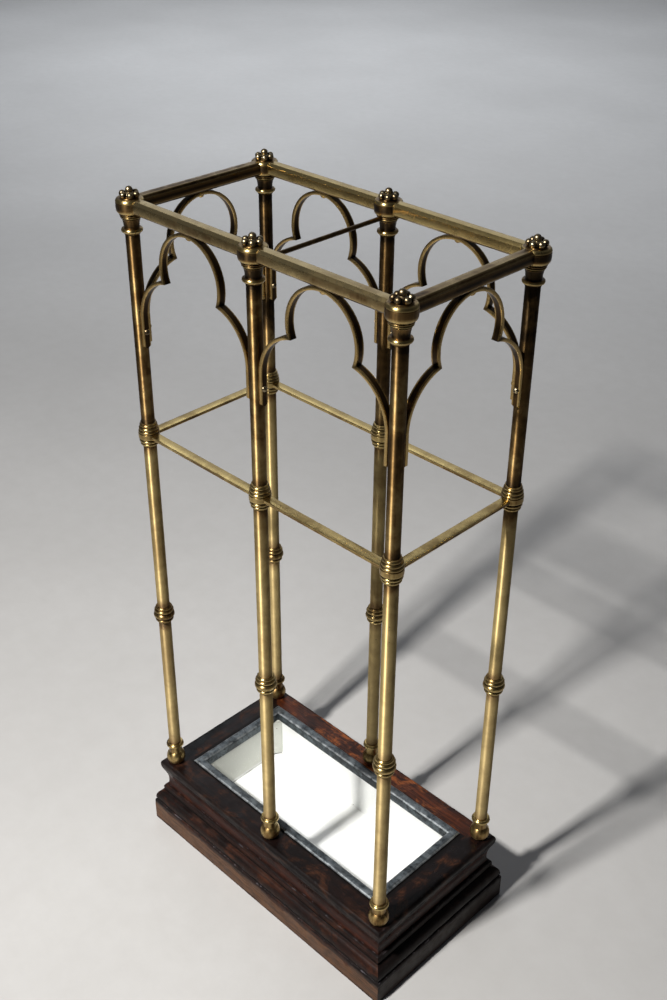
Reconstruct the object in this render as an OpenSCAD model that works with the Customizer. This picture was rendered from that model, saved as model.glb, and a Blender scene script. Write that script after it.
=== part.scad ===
// Brass umbrella and stick stand: six posts in two square bays on a stepped
// mahogany base, trefoil arches under the top rails, seven-ball finials, and
// a drop-in drip tray. Millimetres, +Z up. X runs along the front, Y runs
// from the front to the back. The origin is on the floor under the middle.

/* [Plan] */
// Centre distance of neighbouring posts along the front
bay_l = 140; // [132:1:150]
// Centre distance of the front and back posts
bay_w = 139; // [136:1:146]

/* [Posts] */
// Outer diameter of the post tubes
post_d = 11.5; // [11:0.1:11.8]
// Wall of the post tubes
post_wall = 1; // [0.8:0.1:1.2]
// Height of the foot ring above the floor
z_ring = 104.2; // [103.8:0.2:105]
// Height of the lower collars (middle of the barrel)
z_lower = 267.6; // [240:0.2:300]
// Height of the middle rails
z_middle = 458.6; // [440:0.2:480]
// Height of the bead under each capital
z_bead = 638.7; // [620:0.1:660]

/* [Top frame] */
// Width of the top rails
rail_w = 11.2; // [9:0.2:11.4]
// Height of the top rails
rail_h = 10.8; // [10:0.2:11]
// Bevel on the edges of the top rails
rail_c = 2.2; // [1.4:0.1:2.6]
// Diameter of the round divider rod
rod_d = 3.6; // [3.2:0.2:4]

/* [Strip brass] */
// Width of the strip the arches are bent from
strip_w = 6.4; // [5.6:0.2:7]
// Thickness of that strip
strip_t = 2.8; // [2:0.1:3]
// Width of the flat middle rails
mid_w = 8.4; // [6.6:0.2:8.8]
// Thickness of the flat middle rails
mid_t = 2.8; // [2:0.1:3.2]

/* [Base] */
// Height of the top of the wooden base
base_h = 80.5; // [80:0.1:81]
// Offset of the well edge inside the post lines
well_k = 17.5; // [17:0.1:18]

/* [Drip tray] */
// Length over the rim
rim_l = 252; // [250:1:253]
// Width over the rim
rim_w = 117; // [116:0.5:117.6]
// Width of the flat rim
rim_flat = 9; // [8.6:0.1:9.2]
// Inside height of the pan floor above the ground
pan_floor = 28.5; // [28.3:0.1:32]
// Sheet thickness of the pan
sheet = 1.2; // [1:0.1:1.4]

/* [Hidden] */
$fn = 64;
post_r = post_d / 2;
hy = bay_w / 2;
z_plate = 65;            // underside of the top plate
z_frieze = 47.2;         // underside of the frieze
z_cap = z_bead + 25.8;   // top of the capital drum
z_rail = z_bead + 19.8;  // centre of the top rails
z_rod = z_bead + 12;     // centre of the divider rod
z_under = z_rail - rail_h / 2;   // underside of the top rails
z_screw = z_bead - 83.7; // screws at the arch legs
z_tail = z_bead - 98.2;  // lower end of the arch legs
fit = 0.05;              // radial play of slipped-on brass parts
E = 30;                  // reach of the mitre wedge past the post lines

brass_bright = [0.70, 0.58, 0.33];
brass_dark = [0.52, 0.42, 0.24];
mahogany = [0.22, 0.10, 0.06];
deal = [0.68, 0.52, 0.34];
zinc = [0.42, 0.47, 0.50];
enamel = [0.93, 0.93, 0.90];
steel = [0.50, 0.50, 0.52];

// post positions: column -1, 0, 1 along X and row -1 (front), 1 (back) in Y
module at_post(c, r) { translate([c * bay_l, r * hy, 0]) children(); }
module each_post() { for (c = [-1, 0, 1]) for (r = [-1, 1]) at_post(c, r) children(); }

// ---------------------------------------------------------------- wood base
// Moulding profiles as [overhang past the post line, height].
// The top plate: a rounded nosing over a sloping under-edge.
function plate_prof() = concat(
  [[-well_k, z_plate], [8.4, z_plate], [9.5, 67], [10.4, 69.4], [11.1, 71.8], [11.5, 74.2], [11.5, 76.6]],
  [for (a = [15:15:90]) [8.5 + 3 * cos(a), base_h - 3.9 + 3.9 * sin(a)]],
  [[-well_k, base_h]]);
// The frieze: a hollow between the nosing and the bead.
function frieze_prof() = concat(
  [[-well_k, z_frieze]],
  [for (i = [0:8]) let (t = i / 8) [6.4 + 2.0 * pow(abs(2 * t - 0.82) / 1.18, 2), z_frieze + (z_plate - z_frieze) * t]],
  [[-well_k, z_plate]]);
// The plinth: a bead, an ovolo, a quirk and the upright block.
function plinth_prof() = concat(
  [[-well_k, 0], [17.6, 0], [18.1, 0.6], [18.1, 25.2]],
  [[17.7, 26.0], [16.9, 26.4], [16.1, 26.6], [16.1, 27.8], [17.0, 28.2], [17.1, 29.0]],
  [for (a = [15:15:75]) [10.6 + 6.4 * cos(a), 29.2 + 9.2 * sin(a)]],
  [[10.6, 38.6], [9.9, 38.9]],
  [for (a = [-60:30:90]) [9.0 + 1.7 * cos(a), 43.1 + 4.1 * sin(a)]],
  [[-well_k, z_frieze]]);

// wedge in plan that ends a front piece in its two mitres
module mitre_plan(hl, hw, k) {
  polygon([[-hl - E, -hw - E], [hl + E, -hw - E], [hl - k, -hw + k], [-hl + k, -hw + k]]);
}
// one front moulding, hl and hw being half the post spacings it follows
module moulding(prof, hl, hw, k = well_k) {
  intersection() {
    translate([hl + E, -hw, 0]) rotate([90, 0, -90]) linear_extrude(2 * (hl + E)) polygon(prof);
    translate([0, 0, -1]) linear_extrude(base_h + 10) mitre_plan(hl, hw, k);
  }
}
// holes for the tie rods, and the pockets for their nuts where d > 0
module rod_holes(d = 0) {
  each_post() {
    translate([0, 0, -1]) cylinder(r = 2.3, h = base_h + 2, $fn = 32);
    if (d > 0) translate([0, 0, -1]) cylinder(r = 7.5, h = d + 1);
  }
}
module wood_front(prof, d = 0) { color(mahogany) difference() { moulding(prof, bay_l, hy); rod_holes(d); } }
module wood_back(prof, d = 0) { color(mahogany) difference() { mirror([0, 1, 0]) moulding(prof, bay_l, hy); rod_holes(d); } }
module wood_left(prof, d = 0) { color(mahogany) difference() { rotate([0, 0, -90]) moulding(prof, hy, bay_l); rod_holes(d); } }
module wood_right(prof, d = 0) { color(mahogany) difference() { rotate([0, 0, 90]) moulding(prof, hy, bay_l); rod_holes(d); } }

module plate_front() { wood_front(plate_prof()); }
module plate_back() { wood_back(plate_prof()); }
module plate_left() { wood_left(plate_prof()); }
module plate_right() { wood_right(plate_prof()); }
module frieze_front() { wood_front(frieze_prof()); }
module frieze_back() { wood_back(frieze_prof()); }
module frieze_left() { wood_left(frieze_prof()); }
module frieze_right() { wood_right(frieze_prof()); }
module plinth_front() { wood_front(plinth_prof(), 12); }
module plinth_back() { wood_back(plinth_prof(), 12); }
module plinth_left() { wood_left(plinth_prof(), 12); }
module plinth_right() { wood_right(plinth_prof(), 12); }

// deal board under the pan, resting on two bearers inside the plinth
module tray_board() {
  color(deal) translate([-(bay_l - well_k - 0.5), -(hy - well_k - 0.5), pan_floor - sheet - 6.7])
    cube([2 * (bay_l - well_k - 0.5), 2 * (hy - well_k - 0.5), 6]);
}
module board_bearers() {
  color(deal) for (r = [-1, 1])
    translate([-100, r > 0 ? hy - well_k - 12 : -(hy - well_k), pan_floor - sheet - 18.7]) cube([200, 12, 12]);
}

// ---------------------------------------------------------------- drip tray
module round_rect(l, w, r) {
  square([l - 2 * r, w], center = true);
  square([l, w - 2 * r], center = true);
  for (x = [-1, 1]) for (y = [-1, 1]) translate([x * (l / 2 - r), y * (w / 2 - r)]) circle(r = r);
}
pan_l = rim_l - 2 * rim_flat;   // inside of the pan
pan_w = rim_w - 2 * rim_flat;
z_skirt = base_h - 7;           // lower edge of the bare zinc skirt
module tray_pan() {
  color(enamel) difference() {
    translate([0, 0, pan_floor - sheet]) linear_extrude(z_skirt - pan_floor + sheet)
      round_rect(pan_l + 2 * sheet, pan_w + 2 * sheet, 4.5 + sheet);
    translate([0, 0, pan_floor]) linear_extrude(60) round_rect(pan_l, pan_w, 4.5);
  }
}
// the rim: folded zinc, a low rounded flat with a turned-down skirt
function rim_prof() = [[0, z_skirt], [sheet, z_skirt], [sheet, base_h + 0.3], [rim_flat - 0.5, base_h + 0.3],
  [rim_flat, base_h + 0.9], [rim_flat - 0.1, base_h + 1.5], [rim_flat - 0.9, base_h + 2.3], [rim_flat - 2.2, base_h + 2.8],
  [rim_flat - 4.2, base_h + 2.9], [2.4, base_h + 2.6], [0.9, base_h + 2.0], [0.1, base_h + 1.1], [0, base_h + 0.4]];
module tray_rim() {
  color(zinc) union() {
    for (s = [0, 180]) rotate([0, 0, s]) rim_side(pan_l / 2, pan_w / 2);
    for (s = [90, -90]) rotate([0, 0, s]) rim_side(pan_w / 2, pan_l / 2);
  }
}
module rim_side(hl, hw) {
  intersection() {
    translate([hl + 12, -hw, 0]) rotate([90, 0, -90]) linear_extrude(2 * (hl + 12)) polygon(rim_prof());
    translate([0, 0, z_skirt - 1]) linear_extrude(20)
      polygon([[-hl - 12, -hw - 12], [hl + 12, -hw - 12], [hl - 3, -hw + 3], [-hl + 3, -hw + 3]]);
  }
}

// ---------------------------------------------------------------- posts
// foot: globe, waist, ring, and the cup that the tube stands in
module foot() {
  zs = base_h + 7.3;
  difference() {
    rotate_extrude() intersection() {
      union() {
        translate([0, zs]) circle(r = 9.3);
        translate([0, zs]) square([6.2, z_ring + 2.6 - zs]);
        translate([6.5, z_ring]) circle(r = 2.1, $fn = 32);
        translate([0, z_ring - 2.1]) square([6.5, 4.2]);
        translate([0, z_ring]) square([7.3, 3.2]);
      }
      translate([0, base_h]) square([20, 60]);
    }
    translate([0, 0, base_h - 1]) cylinder(r = 2.3, h = 40, $fn = 32);
    translate([0, 0, z_ring - 1.2]) cylinder(r = post_r + fit, h = 10);
  }
}
module post_feet() { color(brass_bright) each_post() foot(); }

// one post tube, with screw holes for the arch legs on the sides named
module tube(c, r) {
  z0 = z_ring - 1.2;
  z1 = z_bead + 4.8;
  color(brass_bright) at_post(c, r) difference() {
    translate([0, 0, z0]) cylinder(r = post_r, h = z1 - z0);
    translate([0, 0, z0 - 1]) cylinder(r = post_r - post_wall, h = z1 - z0 + 2);
    if (c < 1) translate([0, 0, z_screw]) rotate([0, 90, 0]) cylinder(r = 1.3, h = 10, $fn = 32);
    if (c > -1) translate([0, 0, z_screw]) rotate([0, -90, 0]) cylinder(r = 1.3, h = 10, $fn = 32);
    if (c != 0) translate([0, 0, z_screw]) rotate([r * 90, 0, 0]) cylinder(r = 1.3, h = 10, $fn = 32);
  }
}
module post_tube_front_left() { tube(-1, -1); }
module post_tube_front_middle() { tube(0, -1); }
module post_tube_front_right() { tube(1, -1); }
module post_tube_back_left() { tube(-1, 1); }
module post_tube_back_middle() { tube(0, 1); }
module post_tube_back_right() { tube(1, 1); }

// lower collar: two beads over a round barrel, a fine bead and a taper below
module lower_collars() {
  z = z_lower;
  color(brass_bright) each_post() difference() {
    rotate_extrude() union() {
      translate([0, z - 8]) square([6.7, 17.4]);
      translate([6.3, z + 7.6]) circle(r = 1.45, $fn = 32);
      translate([7.4, z + 4.7]) circle(r = 1.6, $fn = 32);
      translate([0, z - 3.1]) square([8.2, 7]);
      translate([5.3, z - 0.2]) scale([1, 0.8]) circle(r = 4.4);
      translate([7.2, z - 5.3]) circle(r = 1.2, $fn = 32);
      translate([0, z - 5.6]) square([7.6, 3]);
      polygon([[0, z - 8], [6.7, z - 8], [7.3, z - 6], [0, z - 6]]);
    }
    translate([0, 0, z - 20]) cylinder(r = post_r + fit, h = 40);
  }
}
// middle collar: three growing beads, a plain band, two fine beads;
// slotted where the middle rails enter the band
module middle_collars() {
  z = z_middle;
  color(brass_bright) for (c = [-1, 0, 1]) for (r = [-1, 1]) at_post(c, r) difference() {
    rotate_extrude() union() {
      translate([0, z - 9.9]) square([6.7, 21.9]);
      translate([6.1, z + 9.4]) circle(r = 1.45, $fn = 32);
      translate([6.8, z + 6.4]) circle(r = 1.6, $fn = 32);
      translate([0, z - 4.6]) square([7.6, 10]);
      translate([7.4, z + 3.6]) circle(r = 1.5, $fn = 32);
      translate([0, z - 2.6]) square([9.1, 4.9]);
      translate([7.2, z - 5.2]) circle(r = 1.35, $fn = 32);
      translate([6.6, z - 8.2]) circle(r = 1.2, $fn = 32);
    }
    translate([0, 0, z - 20]) cylinder(r = post_r + fit, h = 40);
    if (c < 1) rail_slot(0);
    if (c > -1) rail_slot(180);
    if (c != 0) rail_slot(-90 * r);
  }
}
module rail_slot(a) {
  rotate([0, 0, a]) translate([6.2, -mid_w / 2 - fit, z_middle - mid_t / 2 - fit])
    cube([10, mid_w + 2 * fit, mid_t + 2 * fit]);
}

// capital: bead, neck, ovolo, and a round-shouldered drum with sockets for
// the top rails
module rail_section(g = 0) {
  w = rail_w / 2 + g; h = rail_h / 2 + g; c = rail_c;
  polygon([[-w + c, -h], [w - c, -h], [w, -h + c], [w, h - c], [w - c, h], [-w + c, h], [-w, h - c], [-w, -h + c]]);
}
module rail_socket(a) {
  rotate([0, 0, a]) translate([7, 0, z_rail]) rotate([90, 0, 90]) linear_extrude(10) rail_section(fit);
}
module capital(c, r) {
  z = z_bead;
  color(brass_bright) at_post(c, r) difference() {
    rotate_extrude() union() {
      translate([0, z - 3]) square([5.4 + fit + 1, 6]);
      translate([5.5, z]) circle(r = 2.9, $fn = 48);
      polygon([[0, z], [6.6, z], [6.2, z + 4], [6.2, z + 7.4], [6.7, z + 9.6], [0, z + 9.6]]);
      intersection() {
        translate([5.3, z + 12.8]) circle(r = 3.5, $fn = 48);
        translate([0, z + 9.2]) square([20, 4.2]);
      }
      translate([0, z + 9.2]) square([6.2, 5]);
      translate([0, z + 13]) square([8.2, 2]);
      polygon([[0, z + 14.1], [9.1, z + 14.1], [9.9, z + 14.5], [10.7, z + 15.6], [11.1, z + 17.2], [11.2, z + 18.8],
        [11.2, z + 22.4], [0, z + 22.4]]);
      translate([8.3, z + 22.6]) circle(r = 2.9, $fn = 48);
      translate([0, z + 20]) square([8.3, 5.5]);
      translate([0, z + 20]) square([7, 5.8]);
    }
    translate([0, 0, z - 4]) cylinder(r = 2.3, h = 40, $fn = 32);
    translate([0, 0, z - 4]) cylinder(r = post_r + fit, h = 9);
    if (c < 1) rail_socket(0);
    if (c > -1) rail_socket(180);
    if (c != 0) rail_socket(-90 * r);
    if (c == 0) translate([0, 0, z_rod]) rotate([r * 90, 0, 0]) translate([0, 0, 6.8]) cylinder(r = rod_d / 2 + fit, h = 12, $fn = 32);
  }
}
module capital_front_left() { capital(-1, -1); }
module capital_front_middle() { capital(0, -1); }
module capital_front_right() { capital(1, -1); }
module capital_back_left() { capital(-1, 1); }
module capital_back_middle() { capital(0, 1); }
module capital_back_right() { capital(1, 1); }

// seven-ball finial, tapped underneath for the tie rod
module finials() {
  z = z_cap;
  color(brass_bright) each_post() difference() {
    union() {
      translate([0, 0, z]) cylinder(r = 5.2, h = 2.6);
      translate([0, 0, z + 2.2]) cylinder(r1 = 4.4, r2 = 2.4, h = 2);
      for (a = [0:5]) rotate([0, 0, a * 60]) translate([5.7, 0, z + 2.15]) intersection() {
        sphere(r = 2.7, $fn = 48);
        translate([-5, -5, -2.15]) cube([10, 10, 10]);
      }
      translate([0, 0, z + 5.4]) sphere(r = 3, $fn = 48);
    }
    translate([0, 0, z - 1]) cylinder(r = 2.05, h = 4, $fn = 32);
  }
}

// ---------------------------------------------------------------- rails
module top_rail_x(c, r) {
  l = bay_l - 14.4;
  color(brass_dark) difference() {
    translate([(c - 0.5) * bay_l - l / 2, r * hy, z_rail]) rotate([90, 0, 90]) linear_extrude(l) rail_section();
    translate([(c - 0.5) * bay_l, r * hy, z_under - 1]) cylinder(r = 1.3, h = 5.2, $fn = 32);
  }
}
module top_rail_y(c) {
  l = bay_w - 14.4;
  color(brass_dark) difference() {
    translate([c * bay_l, l / 2, z_rail]) rotate([90, 0, 0]) linear_extrude(l) rail_section();
    translate([c * bay_l, 0, z_under - 1]) cylinder(r = 1.3, h = 5.2, $fn = 32);
  }
}
module top_rail_front_left() { top_rail_x(0, -1); }
module top_rail_front_right() { top_rail_x(1, -1); }
module top_rail_back_left() { top_rail_x(0, 1); }
module top_rail_back_right() { top_rail_x(1, 1); }
module top_rail_left_end() { top_rail_y(-1); }
module top_rail_right_end() { top_rail_y(1); }
module divider_rod() {
  l = bay_w - 14.2;
  color(brass_dark) translate([0, l / 2, z_rod]) rotate([90, 0, 0]) cylinder(r = rod_d / 2, h = l, $fn = 32);
}

module middle_rail_x(c, r) {
  l = bay_l - 12.6;
  color(brass_bright) translate([(c - 0.5) * bay_l - l / 2, r * hy - mid_w / 2, z_middle - mid_t / 2]) cube([l, mid_w, mid_t]);
}
module middle_rail_y(c) {
  l = bay_w - 12.6;
  color(brass_bright) translate([c * bay_l - mid_w / 2, -l / 2, z_middle - mid_t / 2]) cube([mid_w, l, mid_t]);
}
module middle_rail_front_left() { middle_rail_x(0, -1); }
module middle_rail_front_right() { middle_rail_x(1, -1); }
module middle_rail_back_left() { middle_rail_x(0, 1); }
module middle_rail_back_right() { middle_rail_x(1, 1); }
module middle_rail_left_end() { middle_rail_y(-1); }
module middle_rail_right_end() { middle_rail_y(1); }

// ---------------------------------------------------------------- arches
// A trefoil arch: a round upper lobe, a sharp cusp on each side, a wide
// lower lobe turning into the leg that lies against the post.
r_up = 33.8;                       // centre-line radius of the upper lobe
r_low = 40.3;                      // centre-line radius of the lower lobes
z_up = z_under - strip_t / 2 - r_up;   // height of the upper centre
z_low = z_up - 50.9;               // height of the lower centres
// the crossing of two circles, to the left of the line from a to b
function crossing(a, ra, b, rb) =
  let (d = norm(b - a), u = (b - a) / d, m = (ra * ra - rb * rb + d * d) / (2 * d))
  a + m * u + sqrt(ra * ra - m * m) * [-u[1], u[0]];
module ring_2d(r) { difference() { circle(r = r + strip_t / 2, $fn = 96); circle(r = r - strip_t / 2, $fn = 96); } }
module arch_2d(leg) {
  cu = [0, z_up];
  cl = [leg - r_low, z_low];
  p = crossing(cu, r_up - strip_t / 2, cl, r_low - strip_t / 2);
  q = crossing(cu, r_up + strip_t / 2, cl, r_low + strip_t / 2);
  i = p - (q - p) * 0.5;
  o = q + (q - p) * 10;
  intersection() {
    translate(cu) ring_2d(r_up);
    polygon([cu, i, o, [90, z_up + 60], [-90, z_up + 60], [-o[0], o[1]], [-i[0], i[1]]]);
  }
  for (s = [0, 1]) mirror([s, 0]) {
    intersection() {
      translate(cl) ring_2d(r_low);
      polygon([cl, [cl[0] + 80, z_low], o, i]);
    }
    translate([leg - strip_t / 2, z_tail]) square([strip_t, z_low - z_tail]);
  }
}
module arch(half) {
  leg = half - post_r - strip_t / 2;
  difference() {
    rotate([90, 0, 0]) linear_extrude(strip_w, center = true) arch_2d(leg);
    for (s = [-1, 1]) translate([s * leg, 0, z_screw]) rotate([0, 90, 0]) cylinder(r = 1.3, h = 10, center = true, $fn = 32);
    translate([0, 0, z_up + r_up]) cylinder(r = 1.3, h = 8, center = true, $fn = 32);
    // blunt point at the foot of each leg
    for (s = [-1, 1]) for (t = [-1, 1]) translate([s * leg, 0, z_tail]) rotate([90, 0, 90])
      linear_extrude(10, center = true) polygon([[0, -1], [0, 0], [t * 3.4, 2.4], [t * 4, -1]]);
  }
}
module arch_x(c, r) { color(brass_dark) translate([(c - 0.5) * bay_l, r * hy, 0]) arch(bay_l / 2); }
module arch_y(c) { color(brass_dark) translate([c * bay_l, 0, 0]) rotate([0, 0, 90]) arch(hy); }
module arch_front_left() { arch_x(0, -1); }
module arch_front_right() { arch_x(1, -1); }
module arch_back_left() { arch_x(0, 1); }
module arch_back_right() { arch_x(1, 1); }
module arch_left_end() { arch_y(-1); }
module arch_right_end() { arch_y(1); }

// ---------------------------------------------------------------- fasteners
// round head with its flat side on z = 0 and the shank going down
module round_head(r, h, shank) {
  rr = (r * r + h * h) / (2 * h);
  difference() {
    translate([0, 0, h - rr]) sphere(r = rr, $fn = 48);
    translate([-10, -10, -20]) cube([20, 20, 20]);
  }
  translate([0, 0, -shank]) cylinder(r = 1.25, h = shank + 0.2, $fn = 32);
}
module screws_of(half) {
  for (s = [-1, 1]) translate([s * (half - post_r - strip_t), 0, z_screw]) rotate([0, -s * 90, 0]) round_head(2.6, 2.1, 4);
}
module rivet_of() { translate([0, 0, z_under - strip_t - 0.15]) rotate([180, 0, 0]) round_head(2.9, 2.6, 6); }
module arch_screws() {
  color(brass_bright) {
    for (c = [0, 1]) for (r = [-1, 1]) translate([(c - 0.5) * bay_l, r * hy, 0]) screws_of(bay_l / 2);
    for (c = [-1, 1]) translate([c * bay_l, 0, 0]) rotate([0, 0, 90]) screws_of(hy);
  }
}
module arch_rivets() {
  color(brass_dark) {
    for (c = [0, 1]) for (r = [-1, 1]) translate([(c - 0.5) * bay_l, r * hy, 0]) rivet_of();
    for (c = [-1, 1]) translate([c * bay_l, 0, 0]) rivet_of();
  }
}
module tie_rods() { color(steel) each_post() translate([0, 0, 5.5]) cylinder(r = 2, h = z_cap + 2.8 - 5.5, $fn = 32); }
module tie_rod_washers() {
  color(steel) each_post() translate([0, 0, 10.8]) difference() {
    cylinder(r = 6, h = 1.2);
    translate([0, 0, -1]) cylinder(r = 2.2, h = 4, $fn = 32);
  }
}
module tie_rod_nuts() {
  color(steel) each_post() translate([0, 0, 7.4]) difference() {
    cylinder(r = 4.04, h = 3.4, $fn = 6);
    translate([0, 0, -1]) cylinder(r = 2.05, h = 6, $fn = 32);
  }
}

plate_front();
plate_back();
plate_left();
plate_right();
frieze_front();
frieze_back();
frieze_left();
frieze_right();
plinth_front();
plinth_back();
plinth_left();
plinth_right();
tray_board();
board_bearers();
tray_pan();
tray_rim();
post_feet();
post_tube_front_left();
post_tube_front_middle();
post_tube_front_right();
post_tube_back_left();
post_tube_back_middle();
post_tube_back_right();
lower_collars();
middle_collars();
capital_front_left();
capital_front_middle();
capital_front_right();
capital_back_left();
capital_back_middle();
capital_back_right();
finials();
top_rail_front_left();
top_rail_front_right();
top_rail_back_left();
top_rail_back_right();
top_rail_left_end();
top_rail_right_end();
divider_rod();
middle_rail_front_left();
middle_rail_front_right();
middle_rail_back_left();
middle_rail_back_right();
middle_rail_left_end();
middle_rail_right_end();
arch_front_left();
arch_front_right();
arch_back_left();
arch_back_right();
arch_left_end();
arch_right_end();
tie_rods();
tie_rod_nuts();
tie_rod_washers();
arch_screws();
arch_rivets();
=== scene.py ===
import math
import random

import bmesh
import bpy
import numpy as np
from mathutils import Matrix, Vector, noise as mnoise


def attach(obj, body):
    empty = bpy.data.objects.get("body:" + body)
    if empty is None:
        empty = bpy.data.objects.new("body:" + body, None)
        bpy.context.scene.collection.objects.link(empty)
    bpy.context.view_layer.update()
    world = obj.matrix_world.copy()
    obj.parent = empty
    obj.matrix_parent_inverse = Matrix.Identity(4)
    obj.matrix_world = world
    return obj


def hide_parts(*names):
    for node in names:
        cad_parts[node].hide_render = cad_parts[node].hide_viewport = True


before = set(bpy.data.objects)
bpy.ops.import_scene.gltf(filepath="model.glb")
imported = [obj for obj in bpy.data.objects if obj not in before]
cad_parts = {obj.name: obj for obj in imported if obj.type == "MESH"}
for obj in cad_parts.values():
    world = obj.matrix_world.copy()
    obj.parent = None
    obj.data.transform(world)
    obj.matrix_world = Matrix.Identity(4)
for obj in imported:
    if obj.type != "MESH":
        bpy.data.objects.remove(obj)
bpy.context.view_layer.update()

MM = 0.001
SC = bpy.context.scene

# ------------------------------------------------------------------ dimensions, millimetres
BL, HY = 140.0, 69.5            # post lines
PR = 5.75                       # tube radius
Z_RING, Z_LOW, Z_MID, Z_BEAD = 104.2, 267.6, 458.6, 638.7
Z_CAP = Z_BEAD + 25.8
Z_RAIL = Z_BEAD + 19.8
Z_ROD = Z_BEAD + 12.0
RAIL_W, RAIL_H, RAIL_C = 11.2, 10.8, 2.2
Z_UNDER = Z_RAIL - RAIL_H / 2
BASE_H = 80.5
WELL = 17.5
STRIP_W, STRIP_T = 6.4, 2.8
MID_W, MID_T = 8.4, 2.8
Z_SCREW = Z_BEAD - 83.7
Z_TAIL = Z_BEAD - 98.2
COLS = {"left": -1, "middle": 0, "right": 1}
ROWS = {"front": -1, "back": 1}


# ------------------------------------------------------------------ mesh helpers
def fbm(x, y, z, scale, octaves=3):
    """Smooth noise in -1..1 at a point in millimetres, features about `scale` mm across."""
    return mnoise.fractal(Vector((x / scale, y / scale, z / scale)), 1.0, 2.0, octaves)


def make(name, verts, faces, mat, slot, body="stand", replaces=(), sharp=38.0, floats=None, vectors=None, uvs=None):
    me = bpy.data.meshes.new(name)
    v = np.asarray(verts, float) * MM
    me.from_pydata(v.tolist(), [], faces)
    for key, arr in (floats or {}).items():
        a = me.attributes.new(key, "FLOAT", "POINT")
        a.data.foreach_set("value", np.asarray(arr, np.float32).ravel())
    for key, arr in (vectors or {}).items():
        a = me.attributes.new(key, "FLOAT_VECTOR", "POINT")
        a.data.foreach_set("vector", np.asarray(arr, np.float32).ravel())
    if uvs is not None:
        # U runs the way the highlights are drawn out, V across it
        loops = np.zeros(len(me.loops), np.int32)
        me.loops.foreach_get("vertex_index", loops)
        uv = me.uv_layers.new(name="lay")
        uv.data.foreach_set("uv", np.ascontiguousarray(np.asarray(uvs, np.float32).reshape(-1, 2)[loops]).ravel())
    # one closed skin for each shell: poles welded, hidden open ends capped, every face looking outwards
    bm = bmesh.new()
    bm.from_mesh(me)
    bmesh.ops.remove_doubles(bm, verts=bm.verts[:], dist=2e-7)
    bmesh.ops.holes_fill(bm, edges=[e for e in bm.edges if e.is_boundary], sides=0)
    bmesh.ops.recalc_face_normals(bm, faces=bm.faces[:])
    bm.to_mesh(me)
    bm.free()
    me.polygons.foreach_set("use_smooth", [True] * len(me.polygons))
    me.set_sharp_from_angle(angle=math.radians(sharp))
    me.materials.append(mat)
    me.update()
    ob = bpy.data.objects.new(name, me)
    SC.collection.objects.link(ob)
    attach(ob, body)
    if replaces:
        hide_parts(*replaces)
    return ob


class Soup:
    """Several shells gathered into one mesh, with the attributes the materials read."""

    def __init__(self):
        self.v, self.f, self.cav, self.edge, self.g, self.uv, self.patina_and_painted_light = [], [], [], [], [], [], []

    def add(self, verts, faces, cav=None, edge=None, g=None, uv=None, patina_and_painted_light=None):
        n = len(self.v)
        self.v.extend(verts)
        self.f.extend([tuple(i + n for i in f) for f in faces])
        m = len(verts)
        self.cav.extend(cav if cav is not None else [0.0] * m)
        self.edge.extend(edge if edge is not None else [0.0] * m)
        self.patina_and_painted_light.extend(patina_and_painted_light if patina_and_painted_light is not None else [0.0] * m)
        self.g.extend(g if g is not None else [(0.0, 0.0, 0.0)] * m)
        self.uv.extend(uv if uv is not None else [(v[2] * MM, (v[0] + v[1]) * MM) for v in verts])

    def build(self, name, mat, slot, **kw):
        return make(name, self.v, self.f, mat, slot, floats={"cav": self.cav, "edge": self.edge, "patina_and_painted_light": self.patina_and_painted_light},
                    vectors={"gco": self.g}, uvs=self.uv, **kw)


def union_profile(z0, z1, step, shapes):
    """Outer radius against height of a union of turned shapes."""
    zs = set(np.round(np.arange(z0, z1 + 1e-6, step), 4))
    zs.add(z0)
    zs.add(z1)
    out = []
    for z in sorted(zs):
        r = 0.0
        for s in shapes:
            if s[0] == "c":                      # circle: centre radius, height, radius, flattening
                _, r0, zc, a, k = s
                t = (z - zc) / (a * k)
                if abs(t) <= 1:
                    r = max(r, r0 + a * math.sqrt(max(0.0, 1 - t * t)))
            elif s[0] == "b":                    # band: radius, from, to
                if s[2] - 1e-6 <= z <= s[3] + 1e-6:
                    r = max(r, s[1])
            elif s[0] == "p":                    # straight tapers: [(r, z), ...]
                pts = s[1]
                if pts[0][1] <= z <= pts[-1][1]:
                    r = max(r, float(np.interp(z, [p[1] for p in pts], [p[0] for p in pts])))
        out.append((r, z))
    return out


def profile_marks(prof, win=2.2, depth=1.3):
    """How deep each profile point lies in a groove (0..1) and how much it stands out as an edge."""
    r = np.array([p[0] for p in prof])
    z = np.array([p[1] for p in prof])
    cav, edge = [], []
    for i in range(len(r)):
        near = np.abs(z - z[i]) <= win
        lo, hi = near & (z <= z[i]), near & (z >= z[i])
        d = min(r[lo].max(), r[hi].max()) - r[i]
        cav.append(min(1.0, max(0.0, d / depth)))
        m = r[near].mean()
        edge.append(min(1.0, max(0.0, (r[i] - m) / 0.9)))
    return cav, edge


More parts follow.
